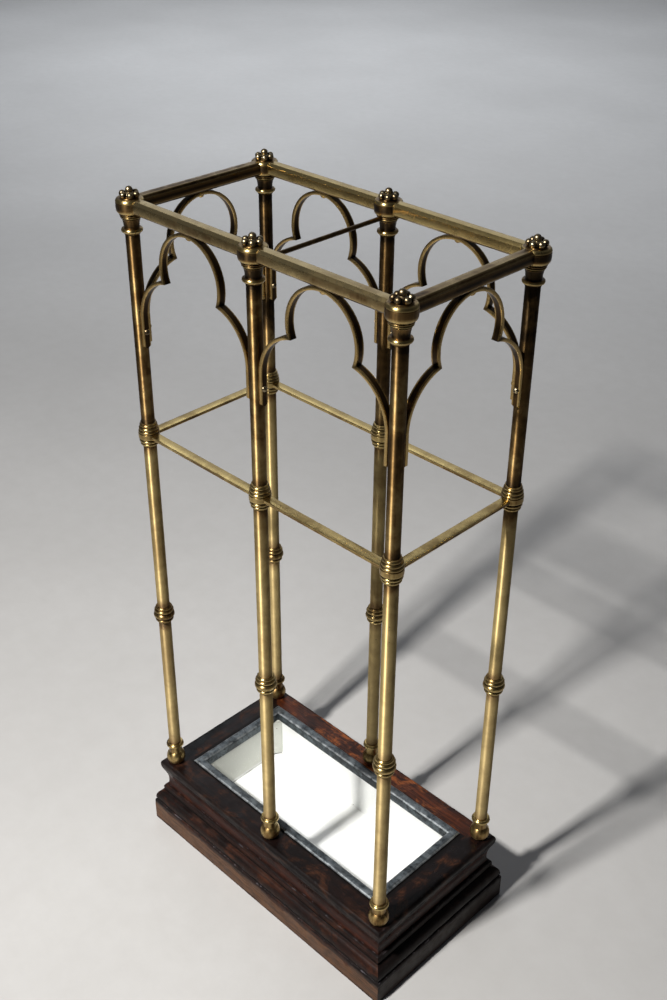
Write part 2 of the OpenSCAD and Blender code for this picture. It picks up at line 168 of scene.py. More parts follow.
def lathe(soup, prof, cx, cy, seg=72, wob=0.0, cap_top=False, cap_low=False, win=2.2, depth=1.3, seed=0.0):
    n = len(prof)
    cav_p, edge_p = profile_marks(prof, win, depth)
    verts, cav, edge, g, uv = [], [], [], [], []
    run = np.concatenate([[0.0], np.cumsum([math.hypot(prof[i][0] - prof[i - 1][0], prof[i][1] - prof[i - 1][1]) for i in range(1, n)])])
    for j, (r, z) in enumerate(prof):
        for i in range(seg):
            a = 2 * math.pi * i / seg
            rr = r
            if wob:
                rr -= wob * (0.5 + 0.5 * fbm(math.cos(a) * 9 + cx, math.sin(a) * 9 + cy, z, 6.0, 2))
            verts.append((cx + rr * math.cos(a), cy + rr * math.sin(a), z))
            cav.append(cav_p[j])
            edge.append(edge_p[j])
            g.append((math.sin(a) * 6 * MM, seed, z * MM))
            uv.append((run[j] * MM, a * 7 * MM))
    faces = []
    for j in range(n - 1):
        for i in range(seg):
            k = (i + 1) % seg
            faces.append((j * seg + i, j * seg + k, (j + 1) * seg + k, (j + 1) * seg + i))
    for flag, ring, z in ((cap_low, 0, prof[0][1]), (cap_top, n - 1, prof[-1][1])):
        if flag:
            c = len(verts)
            verts.append((cx, cy, z))
            cav.append(0.0)
            edge.append(0.0)
            g.append((seed, seed, z * MM))
            uv.append((run[ring] * MM, 0.0))
            for i in range(seg):
                k = (i + 1) % seg
                a, b = ring * seg + i, ring * seg + k
                faces.append((c, a, b) if ring else (c, b, a))
    soup.add(verts, faces, cav, edge, g, uv)


# ------------------------------------------------------------------ node helpers
class Mat:
    def __init__(self, name):
        self.m = bpy.data.materials.new(name)
        self.m.use_nodes = True
        self.t = self.m.node_tree
        self.t.nodes.clear()
        self.out = self.t.nodes.new("ShaderNodeOutputMaterial")
        self.b = self.t.nodes.new("ShaderNodeBsdfPrincipled")
        self.t.links.new(self.b.outputs[0], self.out.inputs[0])
        self.tc = self.t.nodes.new("ShaderNodeTexCoord")
        self.obj = self.tc.outputs["Object"]

    def n(self, kind, **props):
        x = self.t.nodes.new("ShaderNode" + kind)
        for k, v in props.items():
            setattr(x, k, v)
        return x

    def link(self, a, b):
        self.t.links.new(a, b)

    def put(self, sock, v):
        if isinstance(v, bpy.types.NodeSocket):
            self.link(v, sock)
        else:
            sock.default_value = v

    def attr(self, name, vector=False):
        a = self.n("Attribute", attribute_name=name)
        return a.outputs["Vector" if vector else "Fac"]

    def scaled(self, src, s, loc=(0, 0, 0), rot=(0, 0, 0)):
        m = self.n("Mapping")
        self.link(src, m.inputs["Vector"])
        m.inputs["Scale"].default_value = s
        m.inputs["Location"].default_value = loc
        m.inputs["Rotation"].default_value = rot
        return m.outputs[0]

    def noise(self, src, scale, detail=4.0, rough=0.55, dist=0.0):
        x = self.n("TexNoise")
        self.link(src, x.inputs["Vector"])
        x.inputs["Scale"].default_value = scale
        x.inputs["Detail"].default_value = detail
        x.inputs["Roughness"].default_value = rough
        x.inputs["Distortion"].default_value = dist
        return x.outputs["Fac"]

    def voronoi(self, src, scale, feature="F1", rand=1.0):
        x = self.n("TexVoronoi", feature=feature)
        self.link(src, x.inputs["Vector"])
        x.inputs["Scale"].default_value = scale
        x.inputs["Randomness"].default_value = rand
        return x.outputs["Distance"]

    def ramp(self, f, *stops, mode="LINEAR"):
        x = self.n("ValToRGB")
        x.color_ramp.interpolation = mode
        e = x.color_ramp.elements
        while len(e) < len(stops):
            e.new(0.5)
        for i, (p, c) in enumerate(stops):
            e[i].position = p
            e[i].color = (c, c, c, 1) if isinstance(c, (int, float)) else (*c, 1)
        self.link(f, x.inputs[0])
        return x.outputs["Color"]

    def rng(self, f, a, b, c=0.0, d=1.0, smooth=False):
        x = self.n("MapRange", clamp=True)
        if smooth:
            x.interpolation_type = "SMOOTHSTEP"
        self.link(f, x.inputs["Value"])
        for k, v in (("From Min", a), ("From Max", b), ("To Min", c), ("To Max", d)):
            x.inputs[k].default_value = v
        return x.outputs["Result"]

    def math(self, op, a, b=0.0, c=0.0, clamp=False):
        x = self.n("Math", operation=op, use_clamp=clamp)
        self.put(x.inputs[0], a)
        self.put(x.inputs[1], b)
        if op in ("MULTIPLY_ADD", "COMPARE", "WRAP"):
            self.put(x.inputs[2], c)
        return x.outputs[0]

    def mix(self, f, a, b, blend="MIX"):
        x = self.n("Mix", data_type="RGBA", blend_type=blend)
        self.put(x.inputs[0], f)
        for s, v in ((x.inputs[6], a), (x.inputs[7], b)):
            if isinstance(v, tuple):
                s.default_value = (*v, 1)
            else:
                self.link(v, s)
        return x.outputs[2]

    def sep(self, v):
        x = self.n("SeparateXYZ")
        self.link(v, x.inputs[0])
        return x.outputs

    def bump(self, h, dist, strength=1.0, prev=None):
        x = self.n("Bump")
        x.inputs["Strength"].default_value = strength
        x.inputs["Distance"].default_value = dist
        self.link(h, x.inputs["Height"])
        if prev is not None:
            self.link(prev, x.inputs["Normal"])
        return x.outputs[0]

    def normal(self, n):
        self.link(n, self.b.inputs["Normal"])


def brass(name, tones, patina=0.5, rough=(0.20, 0.32), aniso=0.75, height=None, streak=0.5, bump=1.0, film=0.0):
    """Old brass. tones: bright, khaki, brown, black-brown. Patina gathers in the grooves. Up the posts, where height =
    (from, to, amount), and more on the back posts, the brass turns darker: partly patina, partly painted shade standing
    in for the dark surroundings the upper tubes reflect;
    film is an even oxide film all over. The arrises are rubbed bright."""
    m = Mat(name)
    o = m.obj
    bright, khaki, brown, black = tones
    big = m.noise(o, 11.0, 4.0, 0.55, 0.4)
    mid = m.noise(o, 70.0, 6.0, 0.62, 0.4)
    fine = m.noise(o, 620.0, 4.0, 0.6)
    drawn = m.noise(m.scaled(o, (420.0, 420.0, 9.0)), 1.0, 4.0, 0.6, 0.2)     # long marks down the posts
    cav, edge = m.attr("cav"), m.attr("edge")
    patina_and_painted_light = m.attr("patina_and_painted_light")                       # more patina where nobody rubs, and painted shade on faces turned from the light; negative values paint highlights where hands polish
    base = m.mix(m.rng(mid, 0.28, 0.70, 0.15, 0.95), bright, khaki)
    p = m.math("MULTIPLY_ADD", big, 0.72, m.math("MULTIPLY", mid, 0.28))
    p = m.rng(p, 0.40, 0.66, 0.0, patina, smooth=True)
    p = m.math("MULTIPLY", p, m.rng(drawn, 0.30, 0.66, 1.0 - streak, 1.0 + 0.4 * streak))
    # painted shade, partly patina: darker up the posts and more so on the back posts
    if height:
        z = m.sep(o)[2]
        up = m.rng(z, height[0], height[1], 0.0, height[2], smooth=True)
        y = m.sep(o)[1]
        up = m.math("MULTIPLY", up, m.rng(y, -0.03, 0.05, 0.62, 1.0))
        p = m.math("ADD", p, m.math("MULTIPLY", up, m.rng(mid, 0.3, 0.7, 0.75, 1.1)), clamp=True)
    p = m.math("ADD", p, m.math("MULTIPLY", patina_and_painted_light, m.rng(mid, 0.3, 0.7, 0.8, 1.15)), clamp=True)
    if film:
        p = m.math("ADD", p, m.rng(drawn, 0.3, 0.7, film * 0.6, film * 1.3), clamp=True)
    groove = m.math("MULTIPLY", cav, m.rng(mid, 0.25, 0.62, 0.85, 1.25))
    dark = m.rng(groove, 0.18, 0.85, 0.0, 0.95)
    rub = m.rng(edge, 0.10, 0.8, 1.0, 0.25)
    p = m.math("MULTIPLY", p, rub)
    if height:                                  # browner again just above the feet
        foot = m.rng(m.sep(o)[2], 0.09, 0.30, 0.62, 0.22)
        base = m.mix(m.math("MULTIPLY", foot, m.rng(mid, 0.3, 0.7, 0.7, 1.15)), base, (0.34, 0.245, 0.11))
    col = m.mix(m.rng(p, 0.0, 0.62), base, brown)
    col = m.mix(m.rng(p, 0.55, 1.0, 0.0, 0.92), col, black)
    col = m.mix(dark, col, black)
    pits = m.voronoi(o, 310.0)
    gate = m.rng(m.noise(o, 60.0, 2.0), 0.61, 0.70)
    spot = m.math("MULTIPLY", m.rng(pits, 0.10, 0.2, 1.0, 0.0), gate)
    col = m.mix(m.math("MULTIPLY", spot, 0.85), col, (0.03, 0.02, 0.012))
    m.link(col, m.b.inputs["Base Color"])
    if height:                                  # a dusty, unpolished skin on the lower half of the tubes
        m.link(m.rng(m.sep(o)[2], 0.20, 0.54, 0.40, 1.0), m.b.inputs["Metallic"])
    else:
        m.b.inputs["Metallic"].default_value = 1.0
    m.b.inputs["Anisotropic"].default_value = aniso
    t = m.n("Tangent", direction_type="UV_MAP", uv_map="lay")
    m.link(t.outputs[0], m.b.inputs["Tangent"])
    r = m.rng(mid, 0.3, 0.72, rough[0], rough[1])
    r = m.math("MULTIPLY_ADD", m.math("MAXIMUM", p, dark), 0.14, r)
    if height:
        r = m.math("ADD", r, m.rng(m.sep(o)[2], 0.16, 0.50, 0.28, 0.0))
    r = m.math("MULTIPLY_ADD", m.math("SUBTRACT", fine, 0.5), 0.08, r, clamp=True)
    m.link(r, m.b.inputs["Roughness"])
    nb = m.bump(m.noise(o, 42.0, 2.0), 0.0005, 0.16 * bump)
    nb = m.bump(drawn, 0.00005, 0.30 * bump, nb)
    nb = m.bump(m.math("MULTIPLY", spot, -1.0), 0.00018, 0.8, nb)
    nb = m.bump(fine, 0.00003, 0.30 * bump, nb)
    m.normal(nb)
    return m.m


def wood(name, red, dark, worn, polish=0.24, dusty=None, coat=0.03, mottle=0.5):
    """Old polished mahogany: long grain, rubbed patches, darker in the quirks, a blackened polish along the arrises
    with pale bruises that are partly a painted highlight. dusty = (from, to, colour) lightens the boards towards the
    floor."""
    m = Mat(name)
    g = m.attr("gco", True)                     # along the board, round the profile, height
    cav = m.attr("cav")
    edge = m.attr("edge")
    grain = m.noise(m.scaled(g, (16.0, 420.0, 420.0)), 1.0, 6.0, 0.66, 0.4)
    pores = m.noise(m.scaled(g, (70.0, 1500.0, 1500.0)), 1.0, 3.0, 0.6)
    cloud = m.noise(m.scaled(g, (13.0, 30.0, 30.0)), 1.0, 5.0, 0.6, 0.4)
    mott = m.noise(m.scaled(g, (48.0, 105.0, 105.0)), 1.0, 6.0, 0.68, 0.5)
    patch = m.noise(g, 75.0, 5.0, 0.65, 0.3)
    col = m.mix(m.rng(grain, 0.36, 0.64), dark, red)
    rubbed = m.math("MULTIPLY", m.rng(mott, 0.50, 0.62), m.rng(cloud, 0.38, 0.60, 0.25, 1.0))
    rubbed = m.math("MULTIPLY", rubbed, m.rng(grain, 0.34, 0.6, 0.45, 1.0))
    col = m.mix(m.math("MULTIPLY", rubbed, mottle), col, worn)
    col = m.mix(m.rng(m.math("SUBTRACT", cloud, m.math("MULTIPLY", mott, 0.35)), 0.33, 0.46, 0.0, 0.9), col, dark)
    if dusty:
        z = m.math("MULTIPLY_ADD", m.math("SUBTRACT", mott, 0.5), 0.022, m.sep(m.obj)[2])
        low = m.rng(z, dusty[0], dusty[1], 1.0, 0.0, smooth=True)
        low = m.math("MULTIPLY", low, m.rng(m.math("MULTIPLY_ADD", grain, 0.45, m.math("MULTIPLY", mott, 0.55)), 0.38, 0.56, 0.25, 1.0))
        col = m.mix(low, col, dusty[2])
    col = m.mix(m.rng(pores, 0.56, 0.66, 0.0, 0.7), col, (0.005, 0.003, 0.002))
    # darker in the quirks and in patches
    darker_in_quirks = m.rng(m.math("MULTIPLY_ADD", patch, 0.35, cav), 0.30, 0.80, 0.0, 0.97)
    col = m.mix(darker_in_quirks, col, (0.004, 0.003, 0.003))
    band = m.math("MULTIPLY", m.rng(edge, 0.05, 0.45), m.rng(mott, 0.40, 0.60, 1.0, 0.25))
    col = m.mix(m.math("MULTIPLY", band, 0.85), col, (0.008, 0.006, 0.006))
    # pale lavender-grey marks along the arrises: partly scuffs in the polish, partly a painted highlight
    scuff_and_sheen = m.noise(m.scaled(g, (150.0, 330.0, 330.0)), 1.0, 4.0, 0.75)
    scuff_and_sheen = m.math("MULTIPLY", m.rng(scuff_and_sheen, 0.56, 0.64), m.rng(edge, 0.25, 0.85, 0.04, 1.0))
    col = m.mix(m.math("MULTIPLY", scuff_and_sheen, 0.55), col, (0.16, 0.145, 0.16))
    m.link(col, m.b.inputs["Base Color"])
    m.b.inputs["Coat Weight"].default_value = coat
    m.b.inputs["Coat Roughness"].default_value = 0.24
    m.b.inputs["Specular IOR Level"].default_value = 0.12
    r = m.rng(patch, 0.3, 0.7, polish, polish + 0.20)
    r = m.math("MULTIPLY_ADD", rubbed, 0.18, r)
    r = m.math("MULTIPLY_ADD", m.math("MULTIPLY", m.rng(edge, 0.04, 0.3), m.rng(mott, 0.36, 0.56, 1.0, 0.2)), 0.5, r)
    r = m.math("MULTIPLY_ADD", scuff_and_sheen, 0.20, r)
    r = m.math("MULTIPLY_ADD", darker_in_quirks, 0.18, r, clamp=True)
    m.link(r, m.b.inputs["Roughness"])
    nb = m.bump(grain, 0.00025, 0.35)
    nb = m.bump(pores, 0.00012, 0.35, nb)
    nb = m.bump(m.math("SUBTRACT", m.noise(g, 130.0, 4.0, 0.6), m.math("MULTIPLY", scuff_and_sheen, 0.5)), 0.0005, 0.25, nb)
    m.normal(nb)
    return m.m


def zinc_mat():
    m = Mat("zinc_weathered")
    o = m.obj
    big = m.noise(o, 22.0, 5.0, 0.62, 0.6)
    mid = m.noise(o, 120.0, 6.0, 0.7, 0.3)
    fine = m.noise(o, 800.0, 4.0, 0.65)
    edge = m.attr("edge")
    col = m.mix(m.rng(mid, 0.38, 0.62), (0.040, 0.050, 0.058), (0.145, 0.172, 0.190))
    col = m.mix(m.rng(big, 0.46, 0.62, 0.0, 0.85), col, (0.025, 0.028, 0.032))
    blot = m.rng(m.noise(o, 230.0, 5.0, 0.72), 0.53, 0.61)
    col = m.mix(m.math("MULTIPLY", blot, 0.8), col, (0.012, 0.012, 0.014))
    rub = m.math("MULTIPLY", m.rng(edge, 0.3, 0.9), m.rng(mid, 0.35, 0.6))
    col = m.mix(m.math("MULTIPLY", rub, 0.7), col, (0.42, 0.44, 0.45))
    m.link(col, m.b.inputs["Base Color"])
    m.b.inputs["Metallic"].default_value = 0.75
    m.link(m.math("MULTIPLY_ADD", m.rng(mid, 0.3, 0.7), 0.25, m.rng(fine, 0.3, 0.7, 0.33, 0.47)), m.b.inputs["Roughness"])
    nb = m.bump(mid, 0.0005, 0.3)
    nb = m.bump(fine, 0.0001, 0.4, nb)
    nb = m.bump(m.noise(o, 30.0, 2.0), 0.0012, 0.3, nb)
    m.normal(nb)
    return m.m


def enamel_mat():
    m = Mat("enamel_white")
    o = m.obj
    big = m.noise(o, 12.0, 4.0, 0.55)
    mid = m.noise(o, 60.0, 5.0, 0.6, 0.5)
    fine = m.noise(o, 420.0, 4.0, 0.6)
    cav = m.attr("cav")
    col = m.mix(m.rng(big, 0.35, 0.68), (0.885, 0.895, 0.885), (0.85, 0.86, 0.84))
    ox, oy, z = m.sep(o)
    # painted shade: the left wall turned a darker cream-grey, as the light only grazes it
    left = m.math("MULTIPLY", m.rng(ox, -0.1104, -0.1112, 0.0, 1.0), m.rng(z, 0.0300, 0.0318))
    col = m.mix(m.math("MULTIPLY", left, 0.8), col, (0.70, 0.715, 0.64))
    # painted shade in the creases and folds: strong along the left and right walls and their corner gussets, faint at
    # back and front, and under the rim lip
    cav = m.math("MULTIPLY", cav, m.rng(m.math("ABSOLUTE", ox), 0.104, 0.1145, 0.16, 1.0))
    low = m.rng(z, 0.030, 0.062, 1.0, 0.0, smooth=True)
    col = m.mix(m.math("MULTIPLY", cav, m.rng(mid, 0.35, 0.65, 0.45, 0.95)), col, (0.13, 0.13, 0.105))
    stain = m.math("MULTIPLY", m.rng(mid, 0.60, 0.70), low)
    col = m.mix(m.math("MULTIPLY", stain, 0.14), col, (0.66, 0.60, 0.44))
    specks = m.rng(m.voronoi(o, 110.0), 0.045, 0.075, 1.0, 0.0)
    gate = m.rng(m.noise(o, 33.0, 2.0), 0.56, 0.62)
    s = m.math("MULTIPLY", specks, gate)
    col = m.mix(m.math("MULTIPLY", s, 0.85), col, (0.09, 0.06, 0.04))
    m.link(col, m.b.inputs["Base Color"])
    m.link(m.rng(fine, 0.3, 0.7, 0.16, 0.30), m.b.inputs["Roughness"])
    m.b.inputs["Coat Weight"].default_value = 0.3
    m.b.inputs["Coat Roughness"].default_value = 0.12
    nb = m.bump(m.noise(o, 45.0, 2.0), 0.0006, 0.2)
    nb = m.bump(m.math("MULTIPLY", s, -1.0), 0.0002, 0.5, nb)
    nb = m.bump(fine, 0.00006, 0.3, nb)
    m.normal(nb)
    return m.m


def deal_mat():
    m = Mat("deal_bare")
    o = m.obj
    grain = m.noise(m.scaled(o, (7.0, 260.0, 120.0)), 1.0, 5.0, 0.6, 0.8)
    mid = m.noise(o, 50.0, 4.0)
    col = m.mix(m.rng(grain, 0.3, 0.7), (0.30, 0.19, 0.10), (0.46, 0.32, 0.18))
    col = m.mix(m.rng(mid, 0.5, 0.7, 0.0, 0.5), col, (0.17, 0.11, 0.07))
    m.link(col, m.b.inputs["Base Color"])
    m.link(m.rng(mid, 0.3, 0.7, 0.6, 0.8), m.b.inputs["Roughness"])
    m.normal(m.bump(grain, 0.0004, 0.5))
    return m.m


def steel_mat():
    m = Mat("steel_rusty")
    o = m.obj
    mid = m.noise(o, 160.0, 5.0, 0.65)
    col = m.mix(m.rng(mid, 0.42, 0.6), (0.33, 0.32, 0.31), (0.14, 0.065, 0.03))
    m.link(col, m.b.inputs["Base Color"])
    m.link(m.rng(mid, 0.42, 0.6, 1.0, 0.3), m.b.inputs["Metallic"])
    m.link(m.rng(mid, 0.42, 0.6, 0.35, 0.75), m.b.inputs["Roughness"])
    m.normal(m.bump(mid, 0.0003, 0.5))
    return m.m


BRIGHT, KHAKI, BROWN, BLACK = (0.72, 0.555, 0.235), (0.46, 0.335, 0.135), (0.20, 0.118, 0.043), (0.020, 0.014, 0.009)
BRASS = brass("brass_turned", (BRIGHT, KHAKI, BROWN, BLACK), 0.65, (0.24, 0.33), 0.72, film=0.24)
BRASS_BALL = brass("brass_balls", ((0.66, 0.565, 0.36), (0.40, 0.325, 0.19), (0.14, 0.10, 0.055), BLACK), 0.55, (0.24, 0.32), 0.0,
                   film=0.30, streak=0.0)
BRASS_FLAT = brass("brass_flats", (BRIGHT, KHAKI, BROWN, BLACK), 0.70, (0.20, 0.30), 0.35, streak=0.2)
BRASS_TUBE = brass("brass_tube", ((0.72, 0.555, 0.25), (0.56, 0.42, 0.175), BROWN, BLACK), 0.40, (0.42, 0.49), 0.98, height=(0.36, 0.56, 0.66))
BRASS_DARK = brass("brass_browned", ((0.68, 0.53, 0.26), (0.46, 0.345, 0.16), (0.19, 0.115, 0.045), (0.016, 0.011, 0.007)),
                   0.70, (0.20, 0.32), 0.5, streak=0.2)
BRASS_ARCH = brass("brass_arches", ((0.66, 0.47, 0.19), (0.40, 0.27, 0.105), (0.16, 0.092, 0.034), (0.012, 0.008, 0.006)),
                   0.80, (0.20, 0.32), 0.4, streak=0.2)
WOOD = wood("mahogany_dark", (0.012, 0.0052, 0.0038), (0.0042, 0.0026, 0.0026), (0.110, 0.040, 0.017), mottle=0.55)
WOOD_B = wood("mahogany_rubbed", (0.085, 0.021, 0.0070), (0.008, 0.0032, 0.0024), (0.36, 0.105, 0.028), mottle=1.0)
WOOD_F = wood("mahogany_frieze", (0.044, 0.0115, 0.0065), (0.010, 0.0040, 0.0032), (0.13, 0.036, 0.013), mottle=0.4)
WOOD_P = wood("mahogany_plinth", (0.026, 0.0080, 0.0046), (0.0055, 0.0030, 0.0026), (0.14, 0.044, 0.016), 0.30,
              dusty=(0.0185, 0.0225, (0.125, 0.060, 0.030)), mottle=0.4)
# a copy of the plinth mahogany darkened with painted shade, for the right-hand board that faces away from the light
WOOD_PAINTED_SHADE = wood("mahogany_plinth_painted_shade", (0.013, 0.006, 0.0042), (0.0045, 0.0028, 0.0026), (0.04, 0.018, 0.010), 0.36,
              dusty=(0.0185, 0.0225, (0.022, 0.013, 0.009)), mottle=0.4)
ZINC, ENAMEL, DEAL, STEEL = zinc_mat(), enamel_mat(), deal_mat(), steel_mat()


# ------------------------------------------------------------------ wooden base
def arc(cx, cz, rx, rz, a0, a1, n):
    return [(cx + rx * math.cos(math.radians(a0 + (a1 - a0) * i / n)),
             cz + rz * math.sin(math.radians(a0 + (a1 - a0) * i / n))) for i in range(n + 1)]


def plate_prof():
    slope = [(8.4, 65), (9.5, 67), (10.4, 69.4), (11.1, 71.8), (11.5, 74.2), (11.5, 76.6)]
    return [(-WELL, 65.0), (8.0, 65.0)] + slope + arc(8.5, 76.6, 3.0, 3.9, 8, 90, 9) + [(2.0, BASE_H), (-6, BASE_H), (-WELL + 0.5, BASE_H), (-WELL, BASE_H - 0.5)]


def frieze_prof():
    out = [(-WELL, 47.2)]
    for i in range(17):
        t = i / 16
        out.append((6.4 + 2.0 * (abs(2 * t - 0.82) / 1.18) ** 2, 47.2 + 17.8 * t))
    return out + [(-WELL, 65.0)]


def plinth_prof():
    p = [(-WELL, 0.0), (10.0, 0.0), (17.6, 0.0), (18.1, 0.6), (18.1, 8), (18.1, 17), (18.1, 24.6), (17.95, 25.5), (17.7, 26.0), (16.9, 26.4),
         (16.1, 26.6), (16.1, 27.8), (17.0, 28.2), (17.1, 29.0)]
    p += arc(10.6, 29.2, 6.4, 9.2, 6, 75, 12)
    p += [(10.6, 38.6), (9.9, 38.9)]
    p += arc(9.0, 43.1, 1.7, 4.1, -60, 90, 14)
    return p + [(-WELL, 47.2)]


def prof_marks_2d(prof, win=3.0):
    """Groove and arris weights round an outline, from how the outline turns near each point."""
    p = np.array(prof)
    n = len(p)
    cav, edge = [], []
    for i in range(n):
        d = np.hypot(*(p - p[i]).T)
        near = (d < win) & (p[:, 0] > -WELL + 2)
        if near.sum() < 2 or p[i, 0] < -WELL + 2:
            cav.append(0.0)
            edge.append(0.0)
            continue
        proud = p[near, 0].max() - p[i, 0]
        above = p[(p[:, 1] > p[i, 1]) & near, 0]
        below = p[(p[:, 1] < p[i, 1]) & near, 0]
        ca = min(above.max() if len(above) else -9, below.max() if len(below) else -9) - p[i, 0]
        cav.append(float(np.clip(ca / 0.9, 0, 1)))
        a, b, c = p[i - 1], p[i], p[(i + 1) % n]
        u, v = b - a, c - b
        turn = math.atan2(u[0] * v[1] - u[1] * v[0], float(u @ v))
        edge.append(float(np.clip(turn / 0.6, 0, 1)) if proud < 2.0 else 0.0)
    return cav, edge


def densify(prof, step):
    out = []
    n = len(prof)
    for i in range(n):
        a, b = prof[i], prof[(i + 1) % n]
        k = max(1, int(math.ceil(math.hypot(b[0] - a[0], b[1] - a[1]) / step)))
        for j in range(k):
            t = j / k
            out.append((a[0] + (b[0] - a[0]) * t, a[1] + (b[1] - a[1]) * t))
    return out


def moulding(name, prof, side, mat, node, seed, slot="mahogany", holes=0.0, rag=0.22):
    """One mitred board: the outline swept along its side, its arrises slightly worn away."""
    hl, hw = (BL, HY) if side in ("front", "back") else (HY, BL)
    prof = densify(prof, 3.0)
    cav_p, edge_p = prof_marks_2d(prof)
    seg = 110 if hl > 100 else 64
    e_ref = 10.0
    per = [0.0]
    for i in range(1, len(prof)):
        per.append(per[-1] + math.hypot(prof[i][0] - prof[i - 1][0], prof[i][1] - prof[i - 1][1]))
    verts, cav, edge, g = [], [], [], []
    for s in range(seg + 1):
        t = -1 + 2 * s / seg
        for j, (e, z) in enumerate(prof):
            x = t * (hl + e)
            away = 0.0
            if e > 4.0 and rag:
                w = max(0.0, fbm(x + seed * 31, seed * 7 + per[j] * 0.3, z, 14.0, 3))
                away = rag * (0.10 + edge_p[j]) * min(1.0, w * 2.2)
                near_end = max(0.0, 1 - (hl + e - abs(x)) / 5.0)
                away += 0.35 * rag * near_end * edge_p[j]
                away *= min(1.0, z / 12.0)
            e2 = e - away
            y = -(hw + e2)
            xx = t * (hl + e2)
            zz = z - (0.6 * away if z > BASE_H - 6 else 0.0)
            p = (xx, y)
            if side == "back":
                p = (-p[0], -p[1])
            elif side == "left":
                p = (p[1], -p[0])
            elif side == "right":
                p = (-p[1], p[0])
            verts.append((p[0], p[1], zz))
            cav.append(cav_p[j])
            edge.append(edge_p[j])
            g.append((x * MM + seed, per[j] * MM * 0.6 + seed * 0.37, z * MM * 0.6))
    n = len(prof)
    faces = []
    for s in range(seg):
        for j in range(n):
            k = (j + 1) % n
            a, b, c, d = s * n + j, s * n + k, (s + 1) * n + k, (s + 1) * n + j
            faces.append((a, d, c, b))
    faces.append(tuple(range(n)))
    faces.append(tuple(seg * n + j for j in reversed(range(n))))
    so = Soup()
    so.add(verts, faces, cav, edge, g)
    return so.build(name, mat, slot, replaces=(node,), sharp=34)


def cut_holes(ob, spots, r, z0, z1, mat):
    """Round sinkings for the nuts, cut up from the underside."""
    verts, faces = [], []
    for (cx, cy) in spots:
        n0, seg = len(verts), 40
        for z in (z0, z1):
            for i in range(seg):
                a = 2 * math.pi * i / seg
                verts.append(((cx + r * math.cos(a)) * MM, (cy + r * math.sin(a)) * MM, z * MM))
        for i in range(seg):
            k = (i + 1) % seg
            faces.append((n0 + i, n0 + k, n0 + seg + k, n0 + seg + i))
        faces.append(tuple(n0 + i for i in reversed(range(seg))))
        faces.append(tuple(n0 + seg + i for i in range(seg)))
    me = bpy.data.meshes.new("cutter")
    me.from_pydata(verts, [], faces)
    me.materials.append(mat)
    cut = bpy.data.objects.new("cutter", me)
    SC.collection.objects.link(cut)
    mod = ob.modifiers.new("sink", "BOOLEAN")
    mod.object, mod.solver, mod.operation = cut, "EXACT", "DIFFERENCE"
    bpy.context.view_layer.update()
    new = bpy.data.meshes.new_from_object(ob.evaluated_get(bpy.context.evaluated_depsgraph_get()))
    old = ob.data
    ob.modifiers.clear()
    ob.data = new
    new.name = ob.name
    bpy.data.objects.remove(cut)
    bpy.data.meshes.remove(me)
    bpy.data.meshes.remove(old)
    return ob


for k, side in enumerate(("front", "back", "left", "right")):
    moulding(f"top_board_{side}", plate_prof(), side, WOOD_B if side == "back" else WOOD, f"plate_{side}", 1.3 + k * 0.71, rag=0.35)
    moulding(f"frieze_board_{side}", frieze_prof(), side, WOOD_F, f"frieze_{side}", 5.1 + k * 0.83, rag=0.0)
    ob = moulding(f"plinth_board_{side}", plinth_prof(), side, WOOD_PAINTED_SHADE if side == "right" else WOOD_P, f"plinth_{side}", 9.7 + k * 0.67, rag=0.35)
    spots = [(c * BL, r * HY) for c in (-1, 0, 1) for r in (-1, 1)]
    if side in ("front", "back"):
        spots = [p for p in spots if p[1] == ROWS[side] * HY]
    else:
        spots = [p for p in spots if p[0] == COLS[side] * BL]
    cut_holes(ob, spots, 7.5, -3.0, 12.0, WOOD_P)


# ------------------------------------------------------------------ drip tray
def rr_loop(l, w, r, seg=10, side=14, z=0.0):
    """Points round a rounded rectangle, counter-clockwise from the right side."""
    r = max(r, 0.02)
    out = []
    hx, hy = l / 2, w / 2
    corners = [(hx - r, -hy + r, -90), (hx - r, hy - r, 0), (-hx + r, hy - r, 90), (-hx + r, -hy + r, 180)]
    for ci, (cx, cy, a0) in enumerate(corners):
        for i in range(seg + 1):
            a = math.radians(a0 + 90.0 * i / seg)
            out.append((cx + r * math.cos(a), cy + r * math.sin(a), z))
        nx, ny, _ = corners[(ci + 1) % 4]
        a = math.radians(a0 + 90.0)
        p = out[-1]
        q = (nx + r * math.cos(a), ny + r * math.sin(a))
        for i in range(1, side):
            t = i / side
            out.append((p[0] + (q[0] - p[0]) * t, p[1] + (q[1] - p[1]) * t, z))
    return out


def loft(soup, loops, cavs, edges, close=False):
    n = len(loops[0])
    verts = [p for lp in loops for p in lp]
    faces = []
    for j in range(len(loops) - 1):
        for i in range(n):
            k = (i + 1) % n
            faces.append((j * n + i, j * n + k, (j + 1) * n + k, (j + 1) * n + i))
    if close:
        j = len(loops) - 1
        for i in range(n):
            k = (i + 1) % n
            faces.append((j * n + i, j * n + k, k, i))
    cav = [c for c, lp in zip(cavs, loops) for _ in lp]
    edge = [c for c, lp in zip(edges, loops) for _ in lp]
    soup.add(verts, faces, cav, edge)
    return n


PAN_L, PAN_W, FLOOR_Z, SHEET = 234.0, 99.0, 28.5, 1.2
so = Soup()
loops, cavs, edges = [], [], []
R_IN = 4.5
# outside going down, underside, then the inside going up
FIL = 1.8
for z, off, rr, cv in [(73.5, SHEET, R_IN + SHEET, 0), (60, SHEET, R_IN + SHEET, 0), (45, SHEET, R_IN + SHEET, 0), (28.1, SHEET, R_IN + SHEET, 0), (27.3, SHEET - 0.8, R_IN, 0)]:
    loops.append(rr_loop(PAN_L + 2 * off, PAN_W + 2 * off, rr, z=z))
    cavs.append(cv)
    edges.append(0)
under = len(loops) - 1
